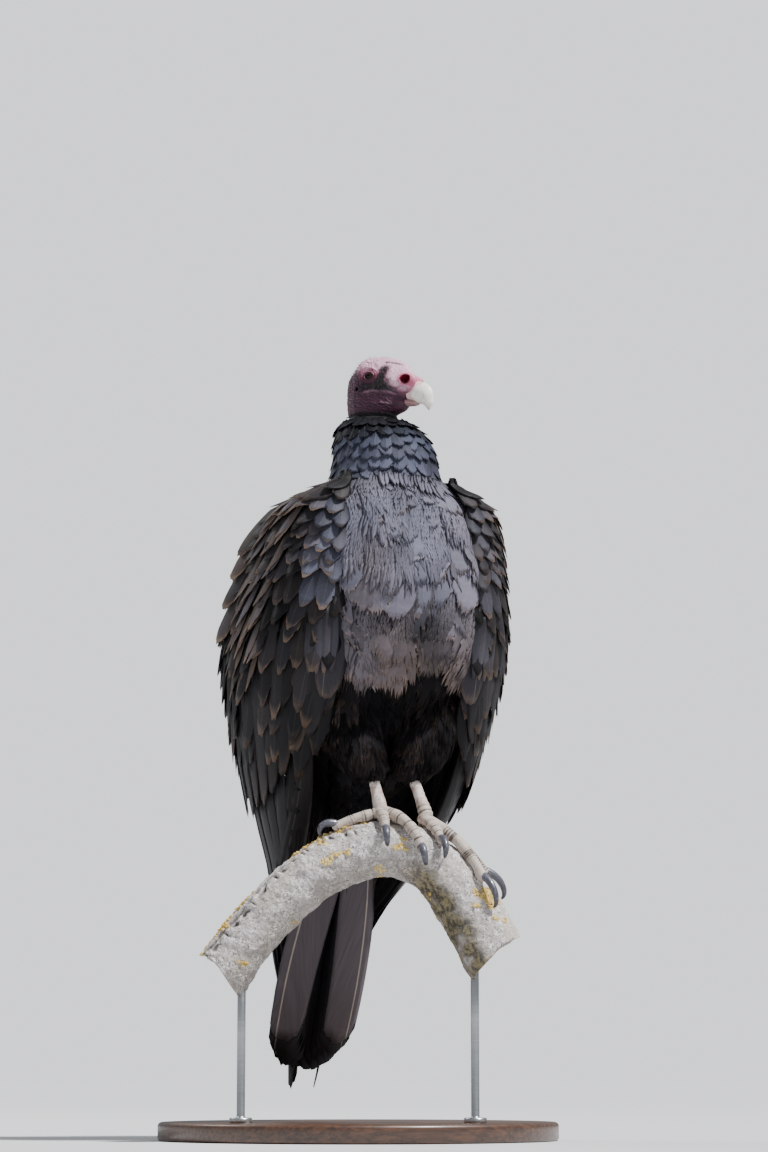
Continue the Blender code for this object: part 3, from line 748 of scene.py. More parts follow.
def headMarks(points):
    local = inHead(points)
    x, y, z = local.T
    ahead = -y
    eye = eyeReach(ahead, z)
    side = ramp(np.abs(x), 0.008, 0.013)
    slant = headValues["nostrilTurn"]
    reach, rise = ahead - headValues["nostril"][0], z - headValues["nostril"][1]
    nostril = np.hypot((reach * cos(slant) + rise * sin(slant)) / headValues["nostrilSize"][0],
                       (rise * cos(slant) - reach * sin(slant)) / headValues["nostrilSize"][1])
    ear = np.hypot(ahead - headValues["ear"][0], z - headValues["ear"][1])
    wave, small, fine = (ripple(local, size, seed) * strength for size, seed, strength in
                         ((0.01, 17, 0.25), (0.005, 18, 0.25), (0.0035, 19, 0.2)))
    edge = 0.0105 - 0.005 * ramp(-ahead, 0.002, 0.014)
    crown = ramp(z + (wave + small) * 0.008 + 0.1 * ahead - edge, 0.0, 0.007)
    # paler crown broken where the wrinkles sink: painted shade in their troughs
    crown = crown * (1 - 0.75 * ramp(-ahead, 0.0, 0.012) * (1 - ramp(wrinkles(local), -0.2, 0.7)))
    cere = ramp(z + (wave + small) * 0.006 + 0.2 * (ahead - 0.03), -0.006, 0.001)
    cere *= ramp(ahead + small * 0.006, 0.025, 0.029)
    bulge = hill(ahead, 0.0415, 0.0055) * hill(z, -0.0068, 0.0032)
    # a painted highlight along the lip, laid into the pale mark
    lipHighlight = hill(z, lipLine(ahead) - 0.0022, 0.0012) * band(ahead, 0.004, 0.034, 0.003) * (0.6 + small)
    pale = np.maximum(np.maximum(crown, cere), 0.8 * bulge) * (0.86 + fine) + 0.35 * lipHighlight
    loreMiddle = 0.0208 + 0.1 * (z - 0.004) + 0.0014 * wave + 0.0016 * small
    loreWidth = 0.0042 + 0.0011 * small + 0.0012 * band(z, -0.006, 0.002, 0.003)
    lore = np.exp(-(((ahead - loreMiddle) / loreWidth) ** 4)) * band(z, -0.0085, 0.0168, 0.0022)
    lore += 0.75 * hill(ahead, 0.0275, 0.003) * hill(z, 0.002, 0.0022)
    lore += 0.8 * hill(z, foreheadLine(ahead), 0.0009) * band(ahead, 0.019, 0.036, 0.003)
    # painted shade: a dark band below the eye
    lore += 0.8 * band(ahead, -0.002, 0.03, 0.005) * hill(z, -0.0055, 0.003) * ramp(eye, 0.0062, 0.008)
    cheek = band(ahead, 0.0, 0.022, 0.004) * band(z, -0.0085, -0.002, 0.0018) * ramp(eye, 0.0075, 0.0095)
    gape = hill(z, lipLine(ahead), 0.0009) * band(ahead, -0.002, 0.046, 0.002) * side
    high = 0.0085 * (1 - ramp(ahead, 0.019, 0.026)) + 0.0005
    purple = ramp(high - z + (wave + small) * 0.004 - 0.25 * np.maximum(0, ahead - 0.02), -0.001, 0.004)
    purple = np.clip(purple + ramp(-ahead + (wave + small) * 0.004, -0.002, 0.008) - 1.4 * crown, 0, 1)
    red = hill(nostril, 1.18, 0.2) + 0.8 * ramp(ahead, 0.046, 0.051)
    red += 0.85 * hill(eye, 0.007, 0.0018) * side * ramp(z, -0.002, 0.007)
    red += 0.75 * hill(z, lipLine(ahead) + 0.003, 0.0022) * ramp(ahead, 0.034, 0.042)
    red = red * (1 - 0.6 * ramp(z, 0.002, 0.01) * ramp(nostril, 1.2, 1.5)) + 0.3 * (0.4 + small) * purple
    deep = (1 - ramp(nostril, 0.99, 1.06)) * ramp(ahead, 0.03, 0.032)
    black = np.clip(lore, 0, 1) + 0.85 * gape + 0.4 * hill(eye, 0.0042, 0.001) * side
    # the ear opening is painted black: painted shade inside its shallow pocket
    black += (1 - ramp(ear, 0.0019, 0.0026)) * side + 0.55 * cheek * (0.8 + small)
    marks = {
        "bare": ramp(points[:, 2], 0.402, 0.4085),
        "fold": 0.5 + 0.5 * wrinkles(local),
        "pale": pale,
        "purple": purple,
        "red": red * (1 - deep),
        "black": np.clip(black, 0, 1) * (1 - 0.9 * bulge) * (1 - deep),
        "deep": deep,
    }
    return {key: np.clip(values, 0, 1) for key, values in marks.items()}


def lipLine(ahead):
    return np.interp(ahead, (-0.004, 0.004, 0.012, 0.021, 0.03, 0.038, 0.046),
                     (-0.012, -0.0092, -0.007, -0.0066, -0.008, -0.0108, -0.0155))


# Perch and the places on it

perchValues = {
    "turn": radians(-20),
    "back": -0.03,
    "line": (  # place along the branch, height of its middle, radius
        (-0.166, -0.146, 0.027), (-0.138, -0.109, 0.0265), (-0.104, -0.073, 0.027),
        (-0.062, -0.042, 0.0268), (-0.012, -0.0275, 0.0275), (0.034, -0.043, 0.028),
        (0.067, -0.083, 0.03), (0.092, -0.129, 0.031),
    ),
    "shrink": 0.985,  # leaves room for the bark's own relief
    "rings": 400,
    "capRings": 10,
    "around": 120,
}


def perchMiddle(along):
    height, radius = interpolate(perchValues["line"], along)
    turn = perchValues["turn"]
    return Vector((along * cos(turn), perchValues["back"] + along * sin(turn), height)), radius


def perchFrame(along):
    middle, radius = perchMiddle(along)
    ahead = (perchMiddle(along + 0.001)[0] - perchMiddle(along - 0.001)[0]).normalized()
    front = Vector((sin(perchValues["turn"]), -cos(perchValues["turn"]), 0))
    up = front.cross(ahead)
    return middle, radius, up if up.z > 0 else -up, front


def perchPoint(along, angle, lift):
    middle, radius, up, front = perchFrame(along)
    return middle + (radius + lift) * (up * cos(angle) + front * sin(angle))


footValues = {
    "spread": 0.0146,
    "toes": {  # heading from straight ahead round to along the branch, length
        "right": (("outer", -78, 0.033), ("middle", 38, 0.056), ("inner", 6, 0.034), ("hind", 178, 0.02)),
        "left": (("inner", 30, 0.03), ("middle", 63, 0.05), ("outer", 98, 0.044), ("hind", 182, 0.02)),
    },
    "radius": {"inner": 0.0052, "middle": 0.0058, "outer": 0.0052, "hind": 0.0046},
    "claw": {"inner": 0.019, "middle": 0.019, "outer": 0.016, "hind": 0.016},
    "palm": (0.0078, 0.0078, 0.0068),
    "heel": (0.02, -0.0085, 0.056),
    "ankle": 0.011,  # height of the leg's lower end above the perch
    "leg": 0.0062,
    "legSteps": 12,
    "clawRadius": 0.0037,
    "steps": 30,  # along a toe
    "clawSteps": 18,
    "clawSides": 14,
    "scute": 0.0027,
}


def toePoint(side, heading, radius, run, lift):
    start, turn = footValues["spread"] * sides[side], radians(heading)
    return perchPoint(start + run * sin(turn), run * cos(turn) / (perchMiddle(start)[1] + radius), lift)


def toeLine(side, heading, length, radius):
    path, steps = [], footValues["steps"]
    for k in range(steps + 1):
        part = k / steps
        knuckle = 0.0011 * sin(3 * pi * part) ** 2
        lift = radius * 0.8 + 0.0024 * (1 - part) ** 2 + knuckle * 0.6
        path.append(toePoint(side, heading, radius, length * part, lift))
    return path


def footForms(side):
    start, steps = footValues["spread"] * sides[side], footValues["steps"]
    forms = [ball(perchPoint(start, 0, footValues["palm"][0]), footValues["palm"])]
    lines = []
    for name, heading, length in footValues["toes"][side]:
        radius = footValues["radius"][name]
        path = toeLine(side, heading, length, radius)
        parts = [k / steps for k in range(steps + 1)]
        widths = [radius * (1.08 - 0.24 * part + 0.09 * cos(6 * pi * part)) for part in parts]
        forms.append(tube(path, widths, 16))
        forms.append(ball(path[-1], (radius * 0.8,) * 3))
        lines.append(path)
    heel = Vector(footValues["heel"]) * Vector((sides[side], 1, 1))
    ankle, steps = perchPoint(start, 0, footValues["ankle"]), footValues["legSteps"]
    path = [heel.lerp(ankle, k / steps) for k in range(steps + 1)]
    widths = [footValues["leg"] - 0.001 * sin(pi * min(1, k / 10)) + 0.0004 * (k > 9)
              for k in range(steps + 1)]
    forms.append(tube(path, widths, 18))
    return forms, [*lines, path]


def nearestRun(points, lines):
    samples, runs = [], []
    for path in lines:
        samples.append(np.array(path))
        steps = np.linalg.norm(np.diff(samples[-1], axis=0), axis=1)
        runs.append(np.concatenate([[0], np.cumsum(steps)]))
    samples, runs = np.concatenate(samples), np.concatenate(runs)
    nearest = np.argmin(((points[:, None, :] - samples[None]) ** 2).sum(-1), 1)
    offset = points - samples[nearest]
    along = runs[nearest] + 0.25 * (offset * unit(np.gradient(samples, axis=0))[nearest]).sum(-1)
    return offset, along


def scutes(along):
    return np.abs(np.sin(pi * along / footValues["scute"])) ** 0.6


def scuteShade(points):
    shade = np.ones(len(points))
    for side, sign in sides.items():
        near = np.flatnonzero((points[:, 2] < 0.03) & (points[:, 0] * sign > -0.05) & (points[:, 1] < 0.04))
        offset, along = nearestRun(points[near], footForms(side)[1])
        close = np.linalg.norm(offset, axis=1) < 0.012
        shade[near[close]] = ramp(scutes(along[close]), 0.25, 0.75)
    return shade


def footSculpted(side):
    forms, lines = footForms(side)
    mesh = remeshed("footSkin", joined("footForms", forms), skinValues["footVoxel"], 3)
    points = pointsOf(mesh)
    offset, along = nearestRun(points, lines)
    upper = ramp(unit(offset) @ unit(np.array((0, 0.03, 0.05))), -0.25, 0.25)
    skin = 0.00014 * ripple(points, 0.003, 23)
    pushPoints(mesh, 0.0006 * (scutes(along) - 0.6) * upper + skin * (1 - upper))
    return mesh


def buildSkin():
    body = fromNodes("skin", bodyNodes + armNodes, skinValues["bodyVoxel"])
    arms = treeOf(fromNodes("arms", armNodes, skinValues["bodyVoxel"]))
    near = np.array([arms.find_nearest(Vector(p))[3] for p in pointsOf(body)])
    deepest, depth = skinValues["armDepth"], skinValues["coatDepth"]
    depth = deepest + (depth - deepest) * ramp(near, 0.003, 0.02)
    points = pointsOf(body) - normalsOf(body) * depth[:, None]
    for side, narrower in wingValues["narrower"].items():
        points[:, 0] *= 1 - (1 - narrower) * ramp(points[:, 0] * side, 0.03, 0.08)
    movePoints(body, points)
    body = remeshed("skin", body, skinValues["bodyVoxel"], 2)
    report("body skin")
    for part in (headSculpted(), footSculpted("left"), footSculpted("right")):
        body = boolean(body, part, "UNION")
    report("skin joined")
    points = pointsOf(body)
    marks = {**headMarks(points), **markings(points), "scute": scuteShade(points)}
    marks["foot"] = (1 - ramp(points[:, 2], 0.052, 0.06)) * (1 - ramp(points[:, 1], 0.02, 0.03))
    marks["toe"] = 1 - ramp(points[:, 2], 0.01, 0.022)
    for name, values in marks.items():
        setNumber(body, name, values)
    body.transform(Matrix.Translation(birdPlace))
    skin = place("skin", body, skinLook())
    attach(skin, "head_skin", "head", *bodyNodes, *armNodes, *legNodes)
    return skin


skinColours = {
    "flesh": paint(160, 116, 134),
    "pale": paint(222, 184, 200),
    "paleShade": paint(194, 148, 174),
    "purple": paint(26, 13, 27),
    # ridge: the painted highlight on the purple skin's wrinkles and the painted shade in the pale skin's
    # troughs
    "ridge": paint(66, 42, 66),
    "red": paint(176, 66, 102),
    "deep": paint(104, 10, 34),
    "black": paint(22, 18, 20),
    "leg": paint(214, 202, 198),
    "legShade": paint(168, 148, 136),
    "toe": paint(184, 172, 162),
    "scute": paint(74, 64, 58),
}


def skinLook():
    tones = skinColours
    look = Look("skinSurface", Subsurface_Weight=0.06, Subsurface_Scale=0.003, Specular_IOR_Level=0.32)
    position = look.place()
    broad = look.noise(position, 160.0)
    fine = look.noise(position, 900.0)
    veins = look.cells(position, 420.0)
    fold, purple, deep = look.number("fold"), look.number("purple"), look.number("deep")
    # lighter on the wrinkles' ridges of the purple skin: a painted highlight
    ridgeHighlight = look.smooth(fold + (broad - 0.5) * 0.7, 0.4, 0.95)
    # darker in the wrinkles' troughs of the pale skin: painted shade
    creaseShade = 1 - look.smooth(fold + (fine - 0.5) * 0.3, 0.1, 0.45)
    pale = look.over(
        tones["pale"],
        (look.smooth(broad + fine * 0.3, 0.5, 0.8) * 0.7, tones["paleShade"]),
        (creaseShade * 0.45, tones["ridge"]),
    )
    head = look.over(
        tones["flesh"],
        (look.smooth(broad, 0.35, 0.7) * 0.35, tones["red"]),
        (purple * 0.95, look.mix(ridgeHighlight, tones["purple"], tones["ridge"])),
        (look.number("pale") * (0.8 + 0.25 * fine), pale),
        (look.number("red") * (0.8 - purple * 0.45), tones["red"]),
        (look.number("black") * look.smooth(fine, 0.2, 0.5), tones["black"]),
        (deep, tones["deep"]),
    )
    toe = look.over(
        tones["scute"],
        (look.number("scute"), tones["toe"]),
        (look.smooth(broad, 0.45, 0.7) * 0.55, tones["legShade"]),
    )
    leg = look.over(
        tones["leg"],
        (look.smooth(broad + fine * 0.4, 0.55, 0.85), tones["legShade"]),
        (look.number("toe"), toe),
    )
    colour = look.over(
        plumageColours["slate"],
        (look.number("brown"), plumageColours["brown"]),
        (look.number("dark") * 0.4 + 0.6, plumageColours["black"]),
        (look.number("foot"), leg),
        (look.number("bare"), head),
    )
    relief = fine * 0.5 + broad * 0.3 + veins * 0.6
    return look.finish(colour, 0.46 + 0.22 * fine - 0.12 * deep, (relief, 0.35, 0.0005))


# Bill and eyes, in the head's frame

billValues = {
    "upper": (  # reach, height, half depth, half width, along the curved middle line
        (0.043, -0.0072, 0.0098, 0.007), (0.053, -0.008, 0.0106, 0.0072),
        (0.0605, -0.0122, 0.0102, 0.0062), (0.0648, -0.0182, 0.0062, 0.0046),
        (0.0664, -0.0236, 0.0028, 0.0024), (0.0665, -0.027, 0.0004, 0.0004),
    ),
    "lower": (
        (0.038, -0.018, 0.0046, 0.0064), (0.046, -0.0186, 0.004, 0.0054),
        (0.052, -0.019, 0.003, 0.004), (0.0565, -0.0192, 0.0008, 0.0014),
    ),
}
eyeValues = {"centre": (0.0172, -0.008, 0.0054), "radius": 0.006, "cornea": 0.0004}


def billMesh(table, count, around):
    along = [(i, *row) for i, row in enumerate(table)]
    rows = [interpolate(along, t * (len(table) - 1) / count) for t in range(count + 1)]
    points = []
    for i, (reach, height, deep, wide) in enumerate(rows):
        before, after = rows[max(i - 1, 0)], rows[min(i + 1, count)]
        up = Vector((1, 0, 0)).cross(Vector((0, before[0] - after[0], after[1] - before[1]))).normalized()
        for a in roundTurns(around):
            pinch = 1 - 0.22 * max(0, -sin(a)) ** 2
            points.append(Vector((wide * cos(a) * pinch, -reach, height)) + up * deep * sin(a))
    return outward(ringed("bill", points, around))


def billLook():
    look = Look("ivoryBill", Subsurface_Weight=0.15, Subsurface_Scale=0.003, Coat_Weight=0.15)
    position = look.place()
    grain = look.noise(look.stretched(position, (1, 1, 0.35)), 700.0, 4.0)
    colour = look.over(
        paint(248, 242, 236),
        (look.smooth(look.noise(position, 190.0), 0.45, 0.75), paint(226, 213, 202)),
        (look.number("root") * 0.55, paint(206, 140, 150)),
        (look.number("low"), paint(146, 104, 106)),
        (look.number("tip") * 0.5, paint(196, 184, 160)),
    )
    return look.finish(colour, 0.3 + 0.2 * grain, (grain, 0.18, 0.0003))


def buildBill():
    finish = billLook()
    for name, count, around, low in (("upper", 40, 40, 0.0), ("lower", 20, 28, 0.9)):
        mesh = billMesh(billValues[name], count, around)
        points = pointsOf(mesh)
        edge = np.interp(points[:, 2], (-0.024, -0.013, -0.005, 0.0), (0.0515, 0.0475, 0.0515, 0.0575))
        setNumber(mesh, "root", 1 - ramp(-points[:, 1] - edge, 0.0, 0.0022))
        setNumber(mesh, "tip", 1 - ramp(points[:, 2], -0.0285, -0.022))
        setNumber(mesh, "low", np.full(len(points), low))
        pushPoints(mesh, 0.00012 * ripple(points, 0.006, 29))
        mesh.transform(headMatrix)
        attach(place("bill_" + name + "_horn", mesh, finish), "ivory", "bill_" + name)
    report("bill")


def buildEyes():
    look = Look("eyeball", Roughness=0.05, IOR=1.38, Coat_Weight=0.0, Specular_IOR_Level=0.22)
    ring = look.number("ring")
    iris = look.mix(look.noise(look.place(), 1500.0), paint(26, 16, 12), paint(52, 34, 26))
    colour = look.over(
        paint(4, 4, 5),
        (look.smooth(ring, 0.0013, 0.0016), iris),
        (look.smooth(ring, 0.0028, 0.0033), paint(30, 24, 26)),
    )
    finish = look.finish(colour)
    x, y, z = eyeValues["centre"]
    for name, side in sides.items():
        mesh = ball((0, 0, 0), (eyeValues["radius"],) * 3, Matrix.Rotation(radians(90), 4, "Y"))
        with editing(mesh) as shape:
            bmesh.ops.subdivide_edges(shape, edges=shape.edges, cuts=1, use_grid_fill=True)
            for vert in shape.verts:
                vert.co = vert.co.normalized() * eyeValues["radius"]
        points = pointsOf(mesh)
        out = np.hypot(points[:, 1], points[:, 2])
        setNumber(mesh, "ring", out)
        points[:, 0] += side * eyeValues["cornea"] * hill(out, 0, 0.0022) * (points[:, 0] * side > 0)
        movePoints(mesh, points)
        mesh.transform(headMatrix @ Matrix.Translation((side * x, y, z)))
        attach(place("eye_" + name + "_ball", mesh, finish), "eye", "eye_" + name)
    report("eyes")


# Coat of the body

def centreLine(mesh):
    points = pointsOf(mesh)
    heights = np.linspace(points[:, 2].min() + 0.004, points[:, 2].max() - 0.002, 30)
    middles = []
    for height in heights:
        near = points[np.abs(points[:, 2] - height) < 0.012]
        middles.append(((near[:, 0].max() + near[:, 0].min()) / 2, (near[:, 1].max() + near[:, 1].min()) / 2))
    return heights, *np.array(middles).T


def middleAt(height, heights, asides, backs):
    return Vector((np.interp(height, heights, asides), np.interp(height, heights, backs), height))


def between(ends, part):
    return ends[0] + (ends[1] - ends[0]) * part


def layLine(tree, point, normal, heading, length, root, tip, hug=0.8, steps=5):
    centre, normals = [], []
    spot, way = point.copy(), heading
    for k in range(steps + 1):
        centre.append(spot + normal * (root + (tip - root) * (k / steps) ** 1.6))
        normals.append(normal)
        way = (way - normal * way.dot(normal)).normalized()
        ahead = spot + way * (length / steps)
        hit, turned, _, _ = tree.find_nearest(ahead)
        if turned.dot(normal) < 0.2:
            turned = normal
        normal = normal.lerp(turned, hug).normalized()
        spot = ahead.lerp(hit, hug)
    return centre, normals


coatSets = {
    # shape, look, heights, turn from the chest, spacing, length, width, lift of root and tip,
    # how closely the feathers follow the body, how much they arch and roll, how unevenly they point
    "ruff": ("soft", "ruffFeather", (0.33, 0.4075), (-180, 180), (0.0125, 0.0058), (0.04, 0.013),
     (0.028, 0.01), (-0.0012, 0.0008), 0.99, 1.0, 0.1),
    "breast": ("soft", "breastFeather", (0.186, 0.34), (-96, 100), (0.0165, 0.015), (0.05, 0.044),
     (0.044, 0.036), (-0.0008, -0.0002), 0.96, 1.0, 0.1),
    "lobe": ("ragged", "breastFeather", (0.14, 0.204), (-96, 100), (0.006, 0.006), (0.034, 0.038),
     (0.024, 0.026), (0.0, 0.002), 0.92, 1.0, 0.1),
    "belly": ("ragged", "bellyFeather", (0.0, 0.16), (-110, 110), (0.01, 0.011), (0.042, 0.05),
     (0.022, 0.024), (-0.001, 0.003), 0.9, 1.0, 0.1),
    "mantle": ("scale", "covertFeather", (0.06, 0.34), (88, 272), (0.018, 0.015), (0.056, 0.044),
     (0.038, 0.034), (-0.001, 0.003), 0.9, 1.0, 0.1),
    "down": ("wisp", "breastFeather", (0.16, 0.336), (-96, 100), (0.0058, 0.0054), (0.026, 0.02),
     (0.006, 0.0052), (0.0008, -0.0003), 0.97, 0.15, 0.13),
}
coatValues = {
    "overlap": 0.52,  # distance between the feathers of a row, in feather widths
    "sunk": 0.0015,  # how far the roots lie under the skin's surface
    "farthest": 0.16,
    "collar": 0.385,  # above this height the feathers stand out from the neck
    "lobeRise": 0.003,  # feathers of the lobes grow where a lobe rises more than this
}


def buildBody(form, wingTree):
    tree = treeOf(form)
    line = centreLine(form)
    for name, values in coatSets.items():
        shape, finish, span, turns, gap, length, width, lift, hug, flat, uneven = values
        coat = Coat(name + "_coat", shape, 40 + len(name))
        rng = coat.rng
        height, row = span[0], 0
        while height < span[1]:
            part = (height - span[0]) / (span[1] - span[0])
            spacing, across = between(gap, part), between(width, part)
            middle = middleAt(height, *line)
            probe = tree.ray_cast(middle + Vector((0, -0.3, 0)), Vector((0, 1, 0)))[0]
            step = across * coatValues["overlap"] / (max(0.02, abs(probe.y - middle.y)) if probe else 0.05)
            turn = radians(turns[0]) + step * 0.5 * (row % 2)
            while turn < radians(turns[1]):
                angle = turn + rng.uniform(-0.12, 0.12) * step
                away = Vector((sin(angle), -cos(angle), 0))
                origin = middle + away * 0.3 + Vector((0, 0, rng.uniform(-0.3, 0.3) * spacing))
                hit, normal, _, _ = tree.ray_cast(origin, -away)
                turn += step
                if hit is None or (hit - middle).length > coatValues["farthest"]:
                    continue
                if covered(wingTree, hit, normal):
                    continue
                if height > coatValues["collar"]:
                    normal = away.lerp(normal, 0.25).normalized()
                near = np.array(hit)[None]
                sway = 0.22 * ripple(near, 0.05, 7)[0] + rng.normal(0, uneven)
                heading = away * 0.12 + Vector((sway * cos(angle), sway * sin(angle), -1))
                long = between(length, part) * rng.uniform(0.88, 1.14)
                clump = 0.5 + 0.5 * ripple(near, 0.045, 9)[0]
                tip = lift[1] * (0.35 + min(1.5, max(0, clump)))
                root = lift[0] - coatValues["sunk"]
                centre, normals = layLine(tree, hit, normal, heading, long, root, tip, hug, 7)
                marks = marksAt(hit, rng)
                rise, _, rim = lobes(centre)
                if name == "lobe":
                    if rise[0] < coatValues["lobeRise"]:
                        continue
                    marks["brown"] = min(1.0, marks["brown"] + 0.04)
                    marks["dark"] *= 0.85
                    marks["tint"] = min(1.0, marks["tint"] + 0.4 * rim[0])
                # belly feathers kept near black: dark plumage with painted shade under the breast
                if name == "belly":
                    marks["dark"] = max(marks["dark"], 0.93)
                if name in ("breast", "down", "lobe"):
                    rise = np.maximum.accumulate(rise)
                    centre = [c + n * r for c, n, r in zip(centre, normals, rise)]
                wide = across * rng.uniform(0.88, 1.12)
                coat.add(centre, normals, wide, marks, 0.1 * flat, rng.normal(0, 0.1) * flat)
            height += spacing
            row += 1
        coat.finish(finish, "ruff" if name == "ruff" else "plumage")


def covered(wingTree, point, normal):  # hidden well inside the folded wing
    start, aside = point + normal * 0.001, normal.cross(Vector((0, 0, 0.016)))
    return all(wingTree.ray_cast(start + aside * k, normal, 0.09)[0] is not None for k in (-1, 0, 1))


thighValues = {
    "middle": (  # heights, and the middle's places aside and back there
        (0.04, 0.058, 0.085, 0.12), (0.0205, 0.029, 0.039, 0.044), (-0.01, -0.006, 0.0, 0.006),
    ),
    "lowest": 0.044,
    "rows": 13,
    "spacing": 0.0085,
}


def buildThighs(form):
    tree = treeOf(form)
    coat = Coat("thigh_coat", "ragged", 71)
    rng = coat.rng
    for side in sides.values():
        for row in range(thighValues["rows"]):
            height = thighValues["lowest"] + row * thighValues["spacing"]
            middle = middleAt(height, *thighValues["middle"]) * Vector((side, 1, 1))
            count = 9 + row // 2
            for k in range(count):
                angle = 2 * pi * (k + 0.5 * (row % 2)) / count + rng.uniform(-0.1, 0.1)
                away = Vector((cos(angle), sin(angle), 0))
                hit, normal, _, _ = tree.ray_cast(middle + away * 0.07, -away)
                if hit is None or (hit - middle).length > 0.05:
                    continue
                heading = away * -0.25 + Vector((0, 0.15, -1))
                long = min(0.04, 0.014 + 0.34 * (height - 0.03)) * rng.uniform(0.85, 1.15)
                centre, normals = layLine(tree, hit, normal, heading, long, -0.001, 0.0026)
                marks = marksAt(hit, rng)
                marks["dark"] = max(0.0, marks["dark"] - 0.08)
                coat.add(centre, normals, rng.uniform(0.014, 0.02), marks, 0.08, rng.normal(0, 0.1))
    coat.finish("bellyFeather", "plumage")


# Wings

wingValues = {
    "sections": (  # height, front edge X Y, widest X Y, rear edge X Y, thickness
        (0.332, 0.056, -0.047, 0.065, -0.038, 0.06, -0.02, 0.006),
        (0.318, 0.06, -0.06, 0.096, -0.018, 0.07, 0.045, 0.024),
        (0.3, 0.063, -0.066, 0.121, 0.014, 0.07, 0.085, 0.034),
        (0.24, 0.067, -0.07, 0.139, 0.046, 0.058, 0.127, 0.032),
        (0.17, 0.07, -0.06, 0.147, 0.067, 0.051, 0.15, 0.024),
        (0.085, 0.071, -0.025, 0.131, 0.078, 0.047, 0.168, 0.016),
        (0.01, 0.069, 0.022, 0.107, 0.093, 0.04, 0.182, 0.011),
        (-0.05, 0.064, 0.105, 0.076, 0.14, 0.026, 0.202, 0.006),
        (-0.1, 0.052, 0.188, 0.056, 0.2, 0.014, 0.23, 0.003),
        (-0.165, 0.04, 0.228, 0.044, 0.238, 0.007, 0.254, 0.001),
        (-0.262, 0.027, 0.274, 0.03, 0.279, 0.002, 0.285, 0.0),
    ),
    "covertRows": (  # low and high place of the rows, rows, spacing, length at the lowest and highest, width
        (0.132, 0.176, 3, 0.0185, (0.08, 0.074), 0.0265),
        (0.194, 0.244, 4, 0.016, (0.054, 0.044), 0.0235),
        (0.258, 0.338, 8, 0.0135, (0.033, 0.021), 0.0195),
    ),
    "secondaries": 15,
    "primaries": 10,
    "narrower": {1: 0.95, -1: 0.985},  # the left wing is held a little closer
    "pale": {1: 0.35, -1: 1.0},  # how pale the shoulder is
    "closing": {1: 0.3, -1: 0.8},  # how far the tips come to the middle behind the tail
}
wingTop, wingTip = 0.332, -0.262  # below the tip a feather runs on straight
wingHeights = np.linspace(-0.264, 0.334, 400)
wingColumns = np.array([interpolate(wingValues["sections"], h) for h in wingHeights])


def wingPlace(u, z):
    frontX, frontY, wideX, wideY, rearX, rearY, _ = (np.interp(z, wingHeights, c) for c in wingColumns.T)
    if u < 0.5:
        turn = pi * u
        return np.array((frontX + (wideX - frontX) * sin(turn), wideY + (frontY - wideY) * cos(turn), z))
    turn = pi * (u - 0.5)
    return np.array((rearX + (wideX - rearX) * cos(turn), wideY + (rearY - wideY) * sin(turn), z))


def wingNormal(u, z):
    u = min(max(u, 0.02), 0.98)
    across = wingPlace(u + 0.01, z) - wingPlace(u - 0.01, z)
    down = wingPlace(u, z - 0.004) - wingPlace(u, z + 0.004)
    return unit(np.cross(down, across))


def secondaryEnd(u):
    return 0.125 - 0.11 * sin(pi * min(1.0, u / 0.9)) ** 0.8 - 0.075 * max(0, u - 0.45)


def wingSheet():
    points, faces = [], []
    rows, columns = 60, 24
    for side in sides.values():
        first = len(points)
        for r in range(rows + 1):
            for c in range(columns + 1):
                x, y, z = wingPlace(c / columns, wingTop - 0.4 * r / rows)
                points.append(Vector((side * x, y, z)))
        for r in range(rows):
            for c in range(columns):
                a = first + r * (columns + 1) + c
                faces.append((a, a + 1, a + columns + 2, a + columns + 1))
    return BVHTree.FromPolygons(points, faces)


# u is the place across the wing, 0 at its front edge and 1 at its rear edge; z is the height of the root
def wingFeather(coat, side, u, z, length, width, lift, drift, marks, camber, roll, steps, curl=0.0):
    centre, normals = [], []
    for k in range(steps + 1):
        part = k / steps
        height = z - length * part
        across = min(1.06, max(0.012, u + drift * part))
        inside = min(across, 1.0)
        normal = wingNormal(inside, max(height, wingTip + 0.004))
        point = wingPlace(inside, max(height, wingTip))
        if height < wingTip:
            point = point + np.array((-0.1, 0.5, -1)) * (wingTip - height)
        if across > inside:
            edge = unit(wingPlace(1, height) - wingPlace(0.99, height))
            point = point + edge * (across - inside) * 0.27
        centre.append(point + normal * (between(lift, part**1.4) + curl * part**3))
        normals.append(normal)
    centre = np.array(centre)
    centre[:, 0] *= 1 - wingValues["closing"][side] * ramp(-centre[:, 2], 0.06, -wingTip)
    mirror = np.array((side * wingValues["narrower"][side], 1, 1))
    coat.add(centre * mirror, unit(np.array(normals) * (side, 1, 1)), width, marks, camber, roll * side)


def wingMarks(rng, dark, brown, blue, tint=(0.0, 1.0)):
    marks = {"tint": rng.uniform(*tint)}
    for key, value, vary in (("dark", dark, 0.08), ("brown", brown, 0.18), ("blue", blue, 0.08)):
        marks[key] = min(0.97 if key == "dark" else 1.0, max(0.0, value + rng.normal(0, vary)))
    return marks


def covertMarks(rng, u, height, side):
    shoulder = band(height, 0.235, 0.318, 0.012) * (1 - ramp(u, 0.14, 0.22)) * wingValues["pale"][side]
    dark = np.interp(height, (0.15, 0.2, 0.25, 0.3, 0.335), (0.94, 0.9, 0.78, 0.66, 0.66))
    dark += 0.16 * ramp(u, 0.25, 0.75) - 0.56 * shoulder
    return wingMarks(rng, dark, 0.52 - 0.45 * shoulder, 0.1 + 0.22 * shoulder)


